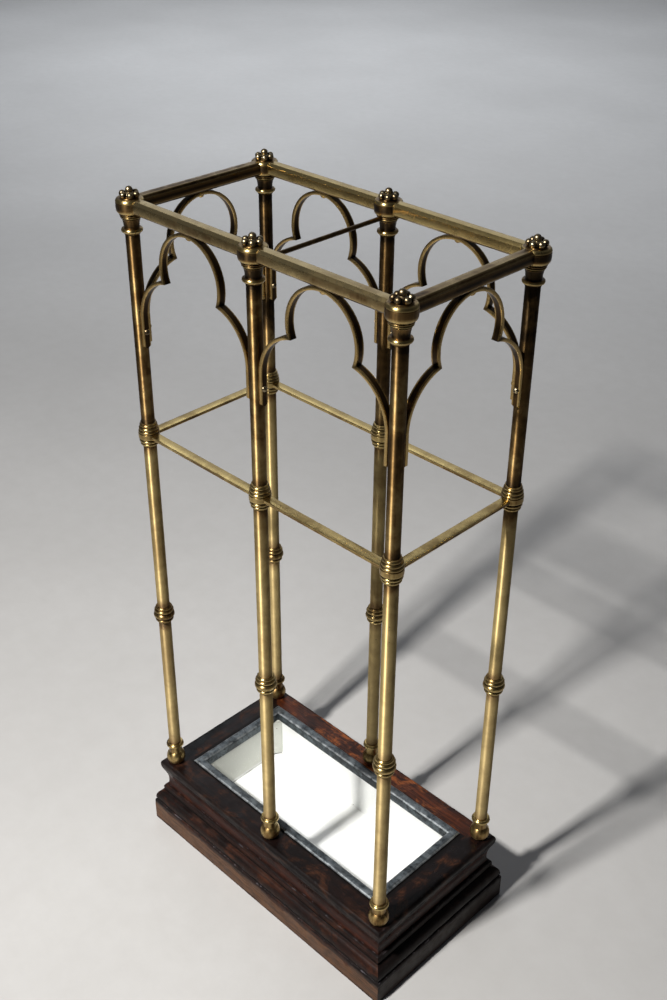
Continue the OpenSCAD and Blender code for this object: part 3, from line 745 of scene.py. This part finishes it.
# the cav values on these loops and on the fillet below paint shade under the rim and along the floor crease
for z, cv in [(73.5, 0.75), (72.2, 0.35), (70.0, 0.08), (62, 0), (54, 0), (46, 0), (38, 0.0), (33, 0.03)]:
    loops.append(rr_loop(PAN_L, PAN_W, R_IN, z=z))
    cavs.append(cv)
    edges.append(0)
for i in range(7):
    a = math.radians(90.0 * i / 6)
    off = -FIL * (1 - math.cos(a))
    loops.append(rr_loop(PAN_L + 2 * off, PAN_W + 2 * off, max(0.3, R_IN + off), z=FLOOR_Z + FIL * (1 - math.sin(a))))
    cavs.append([0.05, 0.15, 0.5, 1.0, 0.8, 0.3, 0.05][i])
    edges.append(0)
for k in range(1, 12):
    off = -FIL - k * (PAN_W / 2 - FIL) / 12.0
    lp = rr_loop(PAN_L + 2 * off, PAN_W + 2 * off, max(0.25, 1.3 * (1 - k / 12)), z=FLOOR_Z)
    loops.append([(x, y, z + 0.0) for x, y, z in lp])
    cavs.append(0.0)
    edges.append(0)
n = len(loops[0])
out_loops, in_loops = loops[: under + 1], loops[under + 1:]
loft(so, list(reversed(out_loops)), list(reversed(cavs[: under + 1])), list(reversed(edges[: under + 1])))
base0 = 0
so.f.append(tuple(reversed(range(base0, base0 + n))))
v0 = len(so.v)
loft(so, list(reversed(in_loops)), list(reversed(cavs[under + 1:])), list(reversed(edges[under + 1:])))
so.f = so.f[: -0 or None]
# the inside is wound to face inwards
cnt = (len(in_loops) - 1) * n
so.f[-cnt:] = [tuple(reversed(f)) for f in so.f[-cnt:]]
so.f.append(tuple(range(v0, v0 + n)))
# lip joining the outside to the inside, under the rim
top_out = [(len(out_loops) - 1) * n + i for i in range(n)]
top_in = [v0 + (len(in_loops) - 1) * n + i for i in range(n)]
for i in range(n):
    k = (i + 1) % n
    so.f.append((top_out[i], top_out[k], top_in[k], top_in[i]))
# the folded corners of the sheet, each a flat gusset across the angle, with painted shade along its folds and foot
for sx in (-1, 1):
    for sy in (-1, 1):
        tri = [(sx * 117.3, sy * 40.2), (sx * 117.3, sy * 49.8), (sx * 111.0, sy * 49.8), (sx * 111.5, sy * 48.55), (sx * 116.25, sy * 41.3)]
        if sx * sy > 0:
            tri.reverse()
        rows = [(30.0, 0.9), (31.5, 0.5), (40.0, 0.34), (55.0, 0.30), (68.0, 0.36), (73.2, 0.7)]
        vs, cv = [], []
        for z, c in rows:
            k = 0.25 if z in (30.0, 73.2) else 0.0
            cx, cy = sum(q[0] for q in tri) / 5, sum(q[1] for q in tri) / 5
            vs += [(x + (cx - x) * k, y + (cy - y) * k, z) for x, y in tri]
            cv += [1.0 if q in (tri[0], tri[2]) else c for q in tri]
        fs = [(4, 3, 2, 1, 0), tuple(range(len(vs) - 5, len(vs)))]
        for r in range(len(rows) - 1):
            for q in range(5):
                w = (q + 1) % 5
                fs.append((r * 5 + q, r * 5 + w, (r + 1) * 5 + w, (r + 1) * 5 + q))
        so.add(vs, fs, cv)
so.build("drip_pan", ENAMEL, "enamel", body="tray", replaces=("tray_pan",), sharp=50)

# rim: a folded sheet-zinc flat with a turned-down skirt inside the pan mouth
rim = [(0, 73.5), (1.2, 73.5), (1.2, 80.8), (8.5, 80.8), (9, 81.4), (8.9, 82), (8.1, 82.8), (6.8, 83.3), (4.8, 83.4), (2.4, 83.1),
       (0.9, 82.5), (0.1, 81.6), (0, 80.9)]


def smooth_closed(pts, sharp, iters=2):
    """Corner cutting of a closed outline, keeping the corners whose index is in `sharp`."""
    for _ in range(iters):
        out, keep, n = [], [], len(pts)
        for i in range(n):
            a, b = pts[i], pts[(i + 1) % n]
            if i in sharp:
                keep.append(len(out))
                out.append(a)
            else:
                out.append((a[0] * 0.75 + b[0] * 0.25, a[1] * 0.75 + b[1] * 0.25))
            if (i + 1) % n not in sharp:
                out.append((a[0] * 0.25 + b[0] * 0.75, a[1] * 0.25 + b[1] * 0.75))
        pts, sharp = out, set(keep)
    return pts


rp = smooth_closed(rim, {0, 1, 2, 3}, 1)
so = Soup()
NS = 60


def rim_piece(side, seed):
    hl, hw = (PAN_L / 2, PAN_W / 2) if side in ("front", "back") else (PAN_W / 2, PAN_L / 2)
    seg = 90 if hl > 60 else 44
    verts, edge, cav, g = [], [], [], []
    for s in range(seg + 1):
        t = -1 + 2 * s / seg
        for (e, z) in rp:
            x = t * (hl + e)
            zz = z
            if z > 81.9:
                zz -= 0.30 * max(0.0, fbm(x + seed * 40, seed * 9, 0.0, 20.0, 2)) + 0.12 * abs(fbm(x, seed * 9 + e, 3.0, 6.0, 2))
            ee = e
            if e > 7.5:
                ee -= 0.35 * max(0.0, fbm(x + seed * 11, 5.0, 2.0, 16.0, 2))
            elif e < 1.0 and z > 76:
                ee += 0.25 * max(0.0, fbm(x + seed * 17, 8.0, 2.0, 22.0, 2))
            p = (t * (hl + ee), -(hw + ee))
            if side == "back":
                p = (-p[0], -p[1])
            elif side == "left":
                p = (p[1], -p[0])
            elif side == "right":
                p = (-p[1], p[0])
            verts.append((p[0], p[1], zz))
            edge.append(0.9 if (0.3 < e < 1.6 or e > 7.6) and z > 81.5 else (0.45 if z > 82.9 else 0.1))
            cav.append(0.6 if z < 75 else 0.0)
            g.append((x * MM, e * MM, z * MM))
    n = len(rp)
    faces = []
    for s in range(seg):
        for j in range(n):
            k = (j + 1) % n
            faces.append((s * n + j, (s + 1) * n + j, (s + 1) * n + k, s * n + k))
    so.add(verts, faces, cav, edge, g)


for k, side in enumerate(("front", "right", "back", "left")):
    rim_piece(side, 2.0 + k)
so.build("rim_of_pan", ZINC, "zinc", body="tray", replaces=("tray_rim",), sharp=40)


# ------------------------------------------------------------------ posts
def foot_profile():
    zs = BASE_H + 7.3
    sh = [("c", 0, zs, 9.3, 1.0), ("b", 6.2, zs, Z_RING + 2.6), ("c", 6.5, Z_RING, 2.1, 1.0), ("b", 6.5, Z_RING - 2.1, Z_RING + 2.1),
          ("b", 7.3, Z_RING, Z_RING + 3.2)]
    p = union_profile(BASE_H, Z_RING + 3.2, 0.2, sh)
    top = Z_RING + 3.2
    p = [(r, z) for r, z in p if z < top - 0.25] + [(7.25, top - 0.25), (7.0, top - 0.03), (6.6, top), (PR - 0.1, top)]
    return [(PR - 1, BASE_H)] + p


def lower_profile():
    z = Z_LOW
    sh = [("b", 6.7, z - 8, z + 9.4), ("c", 6.3, z + 7.6, 1.45, 1), ("c", 7.4, z + 4.7, 1.6, 1), ("b", 8.2, z - 3.1, z + 3.9),
          ("c", 5.3, z - 0.2, 4.4, 0.8), ("c", 7.2, z - 5.3, 1.2, 1), ("b", 7.6, z - 5.6, z - 2.6), ("p", [(6.7, z - 8), (7.3, z - 6)])]
    p = union_profile(z - 8, z + 9.4, 0.12, sh)
    return [(PR - 0.1, z - 8)] + [(6.55, z - 8)] + p[1:-1] + [(6.55, z + 9.4), (PR - 0.1, z + 9.4)]


def middle_profile():
    z = Z_MID
    sh = [("b", 6.7, z - 9.9, z + 12), ("c", 6.1, z + 9.4, 1.45, 1), ("c", 6.8, z + 6.4, 1.6, 1), ("b", 7.6, z - 4.6, z + 5.4),
          ("c", 7.4, z + 3.6, 1.5, 1), ("p", [(8.9, z - 2.6), (9.1, z - 2.3), (9.1, z + 2.0), (8.9, z + 2.3)]),
          ("c", 7.2, z - 5.2, 1.35, 1), ("c", 6.6, z - 8.2, 1.2, 1)]
    p = union_profile(z - 9.9, z + 12, 0.12, sh)
    return [(PR - 0.1, z - 9.9)] + [(6.55, z - 9.9)] + p[1:-1] + [(6.55, z + 12), (PR - 0.1, z + 12)]


def capital_profile():
    z = Z_BEAD
    sh = [("b", 6.3, z - 3, z - 1.6), ("c", 6.75, z, 1.75, 1), ("b", 6.15, z - 1, z + 3),
          ("p", [(6.15, z + 1.5), (6.2, z + 3.2), (6.45, z + 5.6), (6.95, z + 8.0), (7.5, z + 9.3)])]
    p = union_profile(z - 3, z + 9.2, 0.12, sh)
    # two fine rings, then the drum with its round shoulder
    q = [(7.6, z + 9.35), (7.0, z + 9.5), (7.0, z + 9.95), (8.05, z + 10.1), (8.45, z + 10.5), (8.5, z + 10.9), (8.3, z + 11.35),
         (7.9, z + 11.5), (7.9, z + 11.85), (8.6, z + 11.95), (8.95, z + 12.3), (8.95, z + 12.7), (8.6, z + 13.05), (8.2, z + 13.15),
         (8.2, z + 13.6), (9.1, z + 13.7), (10.0, z + 14.2), (10.75, z + 15.2), (11.1, z + 16.6), (11.2, z + 18.2), (11.2, z + 20.6),
         (11.2, z + 21.9), (10.95, z + 22.0), (10.95, z + 22.3), (11.15, z + 22.4)]
    q += [(8.75 + 2.4 * math.cos(math.radians(a)), z + 23.0 + 2.4 * math.sin(math.radians(a))) for a in range(4, 84, 6)]
    q += [(8.6, z + 25.42), (7.05, z + 25.45), (6.9, z + 25.8), (0.6, z + 25.8)]
    return [(PR - 0.1, z - 3)] + p + q


so_feet, so_low, so_mid = Soup(), Soup(), Soup()
for cn, c in COLS.items():
    for rn, r in ROWS.items():
        cx, cy = c * BL, r * HY
        seed = 3.1 * c + 1.7 * r
        # tube
        so = Soup()
        zs = np.linspace(Z_RING - 1.2, Z_BEAD + 4.8, 130)
        lathe(so, [(PR, float(z)) for z in zs], cx, cy, seg=64, wob=0.05, seed=seed)
        ends = (Z_RING + 3.2, Z_LOW - 8, Z_LOW + 9.4, Z_MID - 9.9, Z_MID + 12, Z_BEAD - 3)
        so.patina_and_painted_light = [0.55 * max(0.0, 1 - min(abs(v[2] - e) for e in ends) / 11.0) for v in so.v]
        so.build(f"tube_{rn}_{cn}", BRASS_TUBE, "brass", replaces=(f"post_tube_{rn}_{cn}",), sharp=60)
        lathe(so_feet, foot_profile(), cx, cy, wob=0.08, win=2.6, depth=1.4, seed=seed)
        lathe(so_low, lower_profile(), cx, cy, wob=0.05, win=1.6, depth=0.8, seed=seed)
        lathe(so_mid, middle_profile(), cx, cy, wob=0.05, win=1.6, depth=0.8, seed=seed)
        so = Soup()
        lathe(so, capital_profile(), cx, cy, seg=96, wob=0.06, cap_top=True, win=2.4, depth=0.9, seed=seed)
        # painted light on the capitals over their patina: a painted highlight on the drum's top rim, painted shade down
        # the drum and vase, more painted shade on the back capitals
        far = 0.22 if rn == "back" else 0.0
        hz = [Z_BEAD - 3, Z_BEAD + 1.5, Z_BEAD + 3.2, Z_BEAD + 8.5, Z_BEAD + 10.5, Z_BEAD + 12.8, Z_BEAD + 14, Z_BEAD + 17, Z_BEAD + 21.5,
              Z_BEAD + 23.5, Z_BEAD + 25.0, Z_BEAD + 25.8]
        so.patina_and_painted_light = [far + float(np.interp(v[2], hz, [0.25, 0.15, 0.65, 0.45, 0.35, 0.35, 0.7, 0.42, 0.45, 0.15, -0.30, 0.4])) for v in so.v]
        so.build(f"cap_{rn}_{cn}", BRASS, "brass", replaces=(f"capital_{rn}_{cn}",), sharp=36)
so_feet.build("feet_of_posts", BRASS, "brass", replaces=("post_feet",), sharp=36)
so_low.build("collars_low", BRASS, "brass", replaces=("lower_collars",), sharp=36)
so_mid.build("collars_mid", BRASS, "brass", replaces=("middle_collars",), sharp=36)


def ball(soup, cx, cy, cz, r, floor=None, ref=None, seg=36, rings=20):
    verts, cav, edge, uv = [], [], [], []
    for j in range(rings + 1):
        ph = math.pi * j / rings
        for i in range(seg):
            a = 2 * math.pi * i / seg
            d = Vector((math.sin(ph) * math.cos(a), math.sin(ph) * math.sin(a), math.cos(ph)))
            rr = r * (1 - 0.02 * (0.5 + 0.5 * fbm(cx + d.x * 3, cy + d.y * 3, cz + d.z * 3, 3.0, 2)))
            z = cz + rr * d.z
            if floor is not None:
                z = max(z, floor)
            verts.append((cx + rr * d.x, cy + rr * d.y, z))
            c = 0.0
            if ref is not None:
                # dark where the balls meet each other and the disc under them: painted shade on their undersides and
                # inner faces
                out = Vector((cx - ref[0], cy - ref[1], 0)).normalized()
                side = abs(d.x * -out.y + d.y * out.x)
                inn = -(d.x * out.x + d.y * out.y)
                c = max(c, (side - 0.72) / 0.28, (inn - 0.35) / 0.5, (-d.z - 0.45) / 0.4)
            else:
                # painted shade on the lower half of the top ball
                c = max(c, (-d.z - 0.25) / 0.5)
            cav.append(min(1.0, max(0.0, c)))
            edge.append(0.0)
            uv.append((ph * r * MM, a * r * MM))
    faces = []
    for j in range(rings):
        for i in range(seg):
            k = (i + 1) % seg
            faces.append((j * seg + i, (j + 1) * seg + i, (j + 1) * seg + k, j * seg + k))
    soup.add(verts, faces, cav, edge, uv=uv)


TURN = {("left", "front"): 30, ("middle", "front"): 15, ("right", "front"): 45, ("left", "back"): 20, ("middle", "back"): 5, ("right", "back"): 38}
so = Soup()
for cn, c in COLS.items():
    for rn, r in ROWS.items():
        cx, cy, z = c * BL, r * HY, Z_CAP
        lathe(so, [(0.3, z), (4.9, z), (5.2, z + 0.3), (5.2, z + 2.2), (4.9, z + 2.6), (3.6, z + 2.7), (2.4, z + 4.2), (1.5, z + 4.4)], cx, cy, seg=48, win=1.0, depth=0.5)
        view_az = math.degrees(math.atan2(-0.6018, 0.5948))
        a0 = view_az + (TURN[(cn, rn)] - 15)
        for k in range(6):
            a = math.radians(a0 + k * 60)
            ball(so, cx + 5.7 * math.cos(a), cy + 5.7 * math.sin(a), z + 2.15, 2.7, floor=z, ref=(cx, cy))
        ball(so, cx, cy, z + 5.4, 3.0)
so.build("ball_finials", BRASS_BALL, "brass", replaces=("finials",), sharp=45)


# ------------------------------------------------------------------ rails
def sweep_bar(section, a, b, along, cx, cy, cz, name, mat, slot, node, seg=70, wob=0.10, painted_face_light=(-0.35, -0.15, 0.10, 0.5), sharp=30):
    """A straight bar: section points [(across, up, edge weight)] swept along X or Y, its arrises rubbed."""
    so = Soup()
    verts, edge, cav, g, uv, patina_and_painted_light = [], [], [], [], [], []
    n = len(section)
    top = max(q[1] for q in section)
    per = [0.0]
    for i in range(1, n):
        per.append(per[-1] + math.hypot(section[i][0] - section[i - 1][0], section[i][1] - section[i - 1][1]))
    for s in range(seg + 1):
        x = a + (b - a) * s / seg
        for j, (u, w, ed) in enumerate(section):
            uv.append((per[j] * MM, x * MM))
            k = wob * ed * max(0.0, fbm(x + cx * 1.7, cy * 1.3 + u * 2, cz + w * 2, 11.0, 3))
            uu, ww = u * (1 - k / 6.0), w * (1 - k / 6.0)
            p = (cx + x, cy + uu, cz + ww) if along == "x" else (cx - uu, cy + x, cz + ww)
            verts.append(p)
            edge.append(ed)
            near_end = max(0.0, 1 - min(x - a, b - x) / 7.0)
            cav.append(0.55 * near_end ** 2)
            g.append((x * MM, u * MM, w * MM))
            # painted light by face: the top, upper chamfers, sides and underside of each bar are made lighter or darker
            # for how the light falls on them; negative is lighter
            lvl = 0 if w > top - 0.2 else (1 if w > top - 0.22 * 2 * top else (2 if w > -0.6 * top else 3))
            patina_and_painted_light.append(painted_face_light[lvl])
    faces = []
    for s in range(seg):
        for j in range(n):
            k = (j + 1) % n
            faces.append((s * n + j, (s + 1) * n + j, (s + 1) * n + k, s * n + k))
    faces.append(tuple(reversed(range(n))))
    faces.append(tuple(seg * n + j for j in range(n)))
    so.add(verts, faces, cav, edge, g, uv, patina_and_painted_light)
    return so.build(name, mat, slot, replaces=(node,), sharp=sharp)


def rounded_poly(pts, r):
    """Outline with every corner rounded off by a short three-point arc; the arc's points get edge weight 1."""
    out, n = [], len(pts)
    for i in range(n):
        p, a, b = Vector(pts[i]), Vector(pts[i - 1]), Vector(pts[(i + 1) % n])
        u, v = (a - p).normalized(), (b - p).normalized()
        p0, p2 = p + u * r, p + v * r
        mid = (p0 + p2) / 2 * 0.5 + p * 0.5
        out += [(p0.x, p0.y, 0.5), (mid.x, mid.y, 1.0), (p2.x, p2.y, 0.5)]
        q = Vector(pts[(i + 1) % n])
        w = (a - q)
        m = (p + q) / 2
        out.append((m.x, m.y, 0.0))
    return out


w2, h2, cc = RAIL_W / 2, RAIL_H / 2, RAIL_C
octo = [(-w2 + cc, -h2), (w2 - cc, -h2), (w2, -h2 + cc), (w2, h2 - cc), (w2 - cc, h2), (-w2 + cc, h2), (-w2, h2 - cc), (-w2, -h2 + cc)]
rail_sec = rounded_poly(octo, 0.28)
flat_sec = rounded_poly([(-MID_W / 2, -MID_T / 2), (MID_W / 2, -MID_T / 2), (MID_W / 2, MID_T / 2), (-MID_W / 2, MID_T / 2)], 0.35)
# front and back rails: painted highlight on the top faces, painted shade lower down
for cn, c in (("left", 0), ("right", 1)):
    for rn, r in ROWS.items():
        cx, cy = (c - 0.5) * BL, r * HY
        sweep_bar(rail_sec, -62.8, 62.8, "x", cx, cy, Z_RAIL, f"rail_top_{rn}_{cn}", BRASS_DARK if rn == "front" else BRASS_FLAT, "brass_dark", f"top_rail_{rn}_{cn}",
                  painted_face_light=(-0.25, -0.5, 0.05, 0.5) if rn == "front" else (-0.5, -0.6, -0.5, 0.3))
        sweep_bar(flat_sec, -63.7, 63.7, "x", cx, cy, Z_MID, f"rail_mid_{rn}_{cn}", BRASS_FLAT, "brass", f"middle_rail_{rn}_{cn}")
# end rails and divider rod: heavier painted shade on every face
for cn, c in (("left", -1), ("right", 1)):
    sweep_bar(rail_sec, -62.3, 62.3, "y", c * BL, 0, Z_RAIL, f"rail_top_{cn}", BRASS_DARK, "brass_dark", f"top_rail_{cn}_end",
              painted_face_light=(0.45, 0.6, 1.0, 1.0))
    sweep_bar(flat_sec, -63.2, 63.2, "y", c * BL, 0, Z_MID, f"rail_mid_{cn}", BRASS_FLAT, "brass", f"middle_rail_{cn}_end",
              painted_face_light=(-0.1, 0.2, 0.6, 0.6))
rod_sec = [(1.8 * math.cos(math.radians(a)), 1.8 * math.sin(math.radians(a)), 0.2) for a in range(0, 360, 12)]
sweep_bar(rod_sec, -62.4, 62.4, "y", 0, 0, Z_ROD, "rod_divider", BRASS_DARK, "brass_dark", "divider_rod", sharp=60,
          painted_face_light=(0.6, 0.7, 0.9, 0.9))


# ------------------------------------------------------------------ arches
def crossing(a, ra, b, rb):
    a, b = Vector(a), Vector(b)
    d = (b - a).length
    u = (b - a) / d
    m = (ra * ra - rb * rb + d * d) / (2 * d)
    return a + m * u + math.sqrt(ra * ra - m * m) * Vector((-u.y, u.x))


R_UP, R_LOW = 33.8, 40.3
Z_UP = Z_UNDER - STRIP_T / 2 - R_UP
Z_LO = Z_UP - 50.9


def arch(name, node, half, cx, cy, along, seed):
    leg = half - PR - STRIP_T / 2
    cu, cl = Vector((0, Z_UP)), Vector((leg - R_LOW, Z_LO))
    t2 = STRIP_T / 2
    p = crossing(cu, R_UP - t2, cl, R_LOW - t2)
    q = crossing(cu, R_UP + t2, cl, R_LOW + t2)
    st = []                                    # stations: inner point, outer point, shaded weight

    def ang(c, v):
        return math.atan2(v.y - c.y, v.x - c.x)

    legz = [Z_TAIL, Z_TAIL + 2.4] + list(np.linspace(Z_TAIL + 4, Z_LO, 9))
    half_st = [((leg - t2, z), (leg + t2, z), 0.0, (i == 0)) for i, z in enumerate(legz)]
    n1 = 30
    ai, ao = ang(cl, p), ang(cl, q)
    for i in range(1, n1 + 1):
        t = i / n1
        half_st.append(((cl.x + (R_LOW - t2) * math.cos(ai * t), cl.y + (R_LOW - t2) * math.sin(ai * t)),
                        (cl.x + (R_LOW + t2) * math.cos(ao * t), cl.y + (R_LOW + t2) * math.sin(ao * t)), max(0, (t - 0.86) / 0.14), False))
    n2 = 34
    bi, bo = ang(cu, p), ang(cu, q)
    for i in range(1, n2 + 1):
        t = i / n2
        aa, bb = bi + (math.pi / 2 - bi) * t, bo + (math.pi / 2 - bo) * t
        half_st.append(((cu.x + (R_UP - t2) * math.cos(aa), cu.y + (R_UP - t2) * math.sin(aa)),
                        (cu.x + (R_UP + t2) * math.cos(bb), cu.y + (R_UP + t2) * math.sin(bb)), max(0, (0.10 - t) / 0.10), False))
    st = half_st + [((-a[0], a[1]), (-b[0], b[1]), s, e) for a, b, s, e in reversed(half_st[:-1])]
    w, c = STRIP_W / 2, 0.35
    k = c / STRIP_T
    sec = [(0, 0, .15), (0, w * 0.5, .15), (0, w - c, .5), (k * 0.3, w - c * 0.3, 1), (k, w, .5), (0.5, w, .1), (1 - k, w, .5), (1 - k * 0.3, w - c * 0.3, 1),
           (1, w - c, .5), (1, w * 0.5, .15), (1, 0, .15), (1, -w * 0.5, .15), (1, -w + c, .5), (1 - k * 0.3, -w + c * 0.3, 1), (1 - k, -w, .5), (0.5, -w, .1),
           (k, -w, .5), (k * 0.3, -w + c * 0.3, 1), (0, -w + c, .5), (0, -w * 0.5, .15)]
    verts, edge, cav, g, uv, patina_and_painted_light = [], [], [], [], [], []
    per = [0.0]
    for i in range(1, len(sec)):
        per.append(per[-1] + math.hypot((sec[i][0] - sec[i - 1][0]) * STRIP_T, sec[i][1] - sec[i - 1][1]))
    run = 0.0
    prev = None
    for (a, b, shade, tip) in st:
        mx = ((a[0] + b[0]) / 2, (a[1] + b[1]) / 2)
        if prev is not None:
            run += math.hypot(mx[0] - prev[0], mx[1] - prev[1])
        prev = mx
        for j, (u, v, ed) in enumerate(sec):
            uv.append((per[j] * MM, run * MM))
            x = a[0] + (b[0] - a[0]) * u
            z = a[1] + (b[1] - a[1]) * u
            if tip:
                z += 2.4 * abs(v) / 3.4
            vv = v * (1 - 0.012 * max(0.0, fbm(x, z, v + seed * 9, 14.0, 2)))
            verts.append((cx + x, cy + vv, z) if along == "x" else (cx - vv, cy + x, z))
            edge.append(ed)
            cv = shade * 0.7
            if b[1] > Z_UNDER - 5 and abs(mx[0]) < 16:
                cv = max(cv, 0.6 * u)
            cav.append(cv)
            g.append((run * MM, v * MM, u * MM))
            # painted highlight on the thin edges and painted shade on the wide faces, partly wear and patina
            patina_and_painted_light.append(-0.55 if abs(v) > w - 0.45 else 0.9)
    m = len(sec)
    faces = []
    for s in range(len(st) - 1):
        for j in range(m):
            kk = (j + 1) % m
            faces.append((s * m + j, s * m + kk, (s + 1) * m + kk, (s + 1) * m + j))
    faces.append(tuple(reversed(range(m))))
    faces.append(tuple((len(st) - 1) * m + j for j in range(m)))
    so = Soup()
    so.add(verts, faces, cav, edge, g, uv, patina_and_painted_light)
    return so.build(name, BRASS_ARCH, "brass_dark", replaces=(node,), sharp=32)


def dome(soup, base, axis, r, h, slot_dir=None):
    """A low domed head with its flat side on base, facing along axis, with a turned edge and a driver slot."""
    axis = Vector(axis).normalized()
    side = Vector((0, 0, 1)) if abs(axis.z) < 0.9 else Vector((1, 0, 0))
    u = axis.cross(side).normalized()
    v = axis.cross(u).normalized()
    if slot_dir is not None:
        rot = Matrix.Rotation(slot_dir, 3, axis)
        u, v = rot @ u, rot @ v
    rr = (r * r + h * h) / (2 * h)
    verts, cav, edge = [], [], []
    rings, seg = 14, 36
    amax = math.asin(min(1.0, r / rr)) if h <= r else math.pi / 2
    for j in range(rings + 1):
        ph = amax * j / rings
        for i in range(seg):
            a = 2 * math.pi * i / seg
            px, py, pz = rr * math.sin(ph) * math.cos(a), rr * math.sin(ph) * math.sin(a), rr * math.cos(ph) - (rr - h)
            cv = 0.0
            if slot_dir is not None and abs(py) < 0.42:
                pz -= 0.45 * (1 - (abs(py) / 0.42) ** 4)
                cv = 0.9
            if j >= rings - 1:
                cv = max(cv, 0.7)
            q = Vector(base) + u * px + v * py + axis * max(pz, 0.0)
            verts.append(tuple(q))
            cav.append(cv)
            edge.append(0.4 if j < 4 else 0.0)
    faces = []
    for j in range(rings):
        for i in range(seg):
            k = (i + 1) % seg
            faces.append((j * seg + i, j * seg + k, (j + 1) * seg + k, (j + 1) * seg + i))
    soup.add(verts, faces, cav, edge)


screws, rivets = Soup(), Soup()
spans = [(f"arch_{rn}_{cn}", (c - 0.5) * BL, r * HY, "x", BL / 2) for cn, c in (("left", 0), ("right", 1)) for rn, r in ROWS.items()]
spans += [(f"arch_{cn}_end", c * BL, 0.0, "y", HY) for cn, c in (("left", -1), ("right", 1))]
for k, (node, cx, cy, along, half) in enumerate(spans):
    arch("trefoil_" + node[5:], node, half, cx, cy, along, k * 1.3)
    for s in (-1, 1):
        d = s * (half - PR - STRIP_T)
        base = (cx + d, cy, Z_SCREW) if along == "x" else (cx, cy + d, Z_SCREW)
        axis = (-s, 0, 0) if along == "x" else (0, -s, 0)
        dome(screws, base, axis, 2.6, 2.1, slot_dir=0.5 + k * 1.1 + s * 0.6)
    dome(rivets, (cx, cy, Z_UNDER - STRIP_T), (0, 0, -1), 2.9, 2.6)
screws.build("screws_of_arches", BRASS_BALL, "brass", replaces=("arch_screws",), sharp=50)
rivets.build("rivets_of_arches", BRASS_ARCH, "brass_dark", replaces=("arch_rivets",), sharp=50)

# carried-over nodes, hidden in the base
for node, mat in (("tray_board", DEAL), ("board_bearers", DEAL), ("tie_rods", STEEL), ("tie_rod_nuts", STEEL), ("tie_rod_washers", STEEL)):
    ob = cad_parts[node]
    ob.data.materials.clear()
    ob.data.materials.append(mat)


# ------------------------------------------------------------------ stage
def floor_mat():
    m = Mat("floor_pale")
    o = m.obj
    a = m.noise(o, 2.2, 4.0, 0.5)
    b = m.noise(o, 38.0, 6.0, 0.65)
    col = m.mix(m.rng(a, 0.3, 0.7), (0.50, 0.49, 0.48), (0.56, 0.55, 0.54))
    col = m.mix(m.rng(b, 0.3, 0.75, 0.0, 0.25), col, (0.42, 0.405, 0.39))
    m.link(col, m.b.inputs["Base Color"])
    m.b.inputs["Roughness"].default_value = 0.85
    m.normal(m.bump(b, 0.0006, 0.25))
    return m.m


me = bpy.data.meshes.new("floor")
S = 6.0
me.from_pydata([(-S, -S, 0), (S, -S, 0), (S, S, 0), (-S, S, 0)], [], [(0, 1, 2, 3)])
me.materials.append(floor_mat())
floor = bpy.data.objects.new("floor", me)
SC.collection.objects.link(floor)


def area(name, loc, target, size, power, color, size_y=None):
    L = bpy.data.lights.new(name, "AREA")
    L.shape = "RECTANGLE"
    L.size, L.size_y = size, size_y or size
    L.energy = power
    L.color = color
    o = bpy.data.objects.new(name, L)
    o.location = loc
    o.rotation_mode = "QUATERNION"
    o.rotation_quaternion = (Vector(target) - Vector(loc)).to_track_quat("-Z", "Y")
    SC.collection.objects.link(o)
    return o


key = area("key", (-0.02, -1.02, 1.54), (-0.14, -0.12, 0.25), 0.11, 22.0, (1.0, 0.985, 0.955), 0.11)
key.data.spread = math.radians(130)
wall = area("wall_glow", (-1.45, 1.85, 1.50), (0.0, 0.0, 0.55), 2.1, 4.0, (0.95, 0.97, 1.0), 1.3)
back = area("back_left", (-2.6, 2.2, 2.6), (-2.4, 2.6, 0.0), 2.4, 44.0, (0.90, 0.945, 1.0))
back.data.spread = math.radians(120)

w = bpy.data.worlds.new("soft_room")
SC.world = w
w.use_nodes = True
wt = w.node_tree
bg = wt.nodes["Background"]
geo = wt.nodes.new("ShaderNodeTexCoord")
dot = wt.nodes.new("ShaderNodeVectorMath")
dot.operation = "DOT_PRODUCT"
dot.inputs[1].default_value = (-0.62, 0.30, 0.35)
wt.links.new(geo.outputs["Generated"], dot.inputs[0])
rg = wt.nodes.new("ShaderNodeMapRange")
for k, v in (("From Min", -0.45), ("From Max", 0.75), ("To Min", 0.012), ("To Max", 0.11)):
    rg.inputs[k].default_value = v
wt.links.new(dot.outputs["Value"], rg.inputs["Value"])
bg.inputs[0].default_value = (0.86, 0.90, 1.0, 1)
wt.links.new(rg.outputs["Result"], bg.inputs[1])

cam_d = bpy.data.cameras.new("camera")
cam_d.sensor_fit = "AUTO"
cam_d.sensor_width = 36.0
cam_d.lens = 44.447
cam_d.clip_start, cam_d.clip_end = 0.01, 50.0
cam = bpy.data.objects.new("camera", cam_d)
R = ((0.708556, -0.379704, 0.594789), (0.705628, 0.373909, -0.601898), (0.006146, 0.846178, 0.532866))
cam.matrix_world = Matrix.Translation((0.61648, -0.61168, 0.97064)) @ Matrix(R).to_4x4()
SC.collection.objects.link(cam)
SC.camera = cam

SC.view_settings.view_transform = "Standard"
SC.view_settings.look = "None"
SC.view_settings.exposure = 0.0
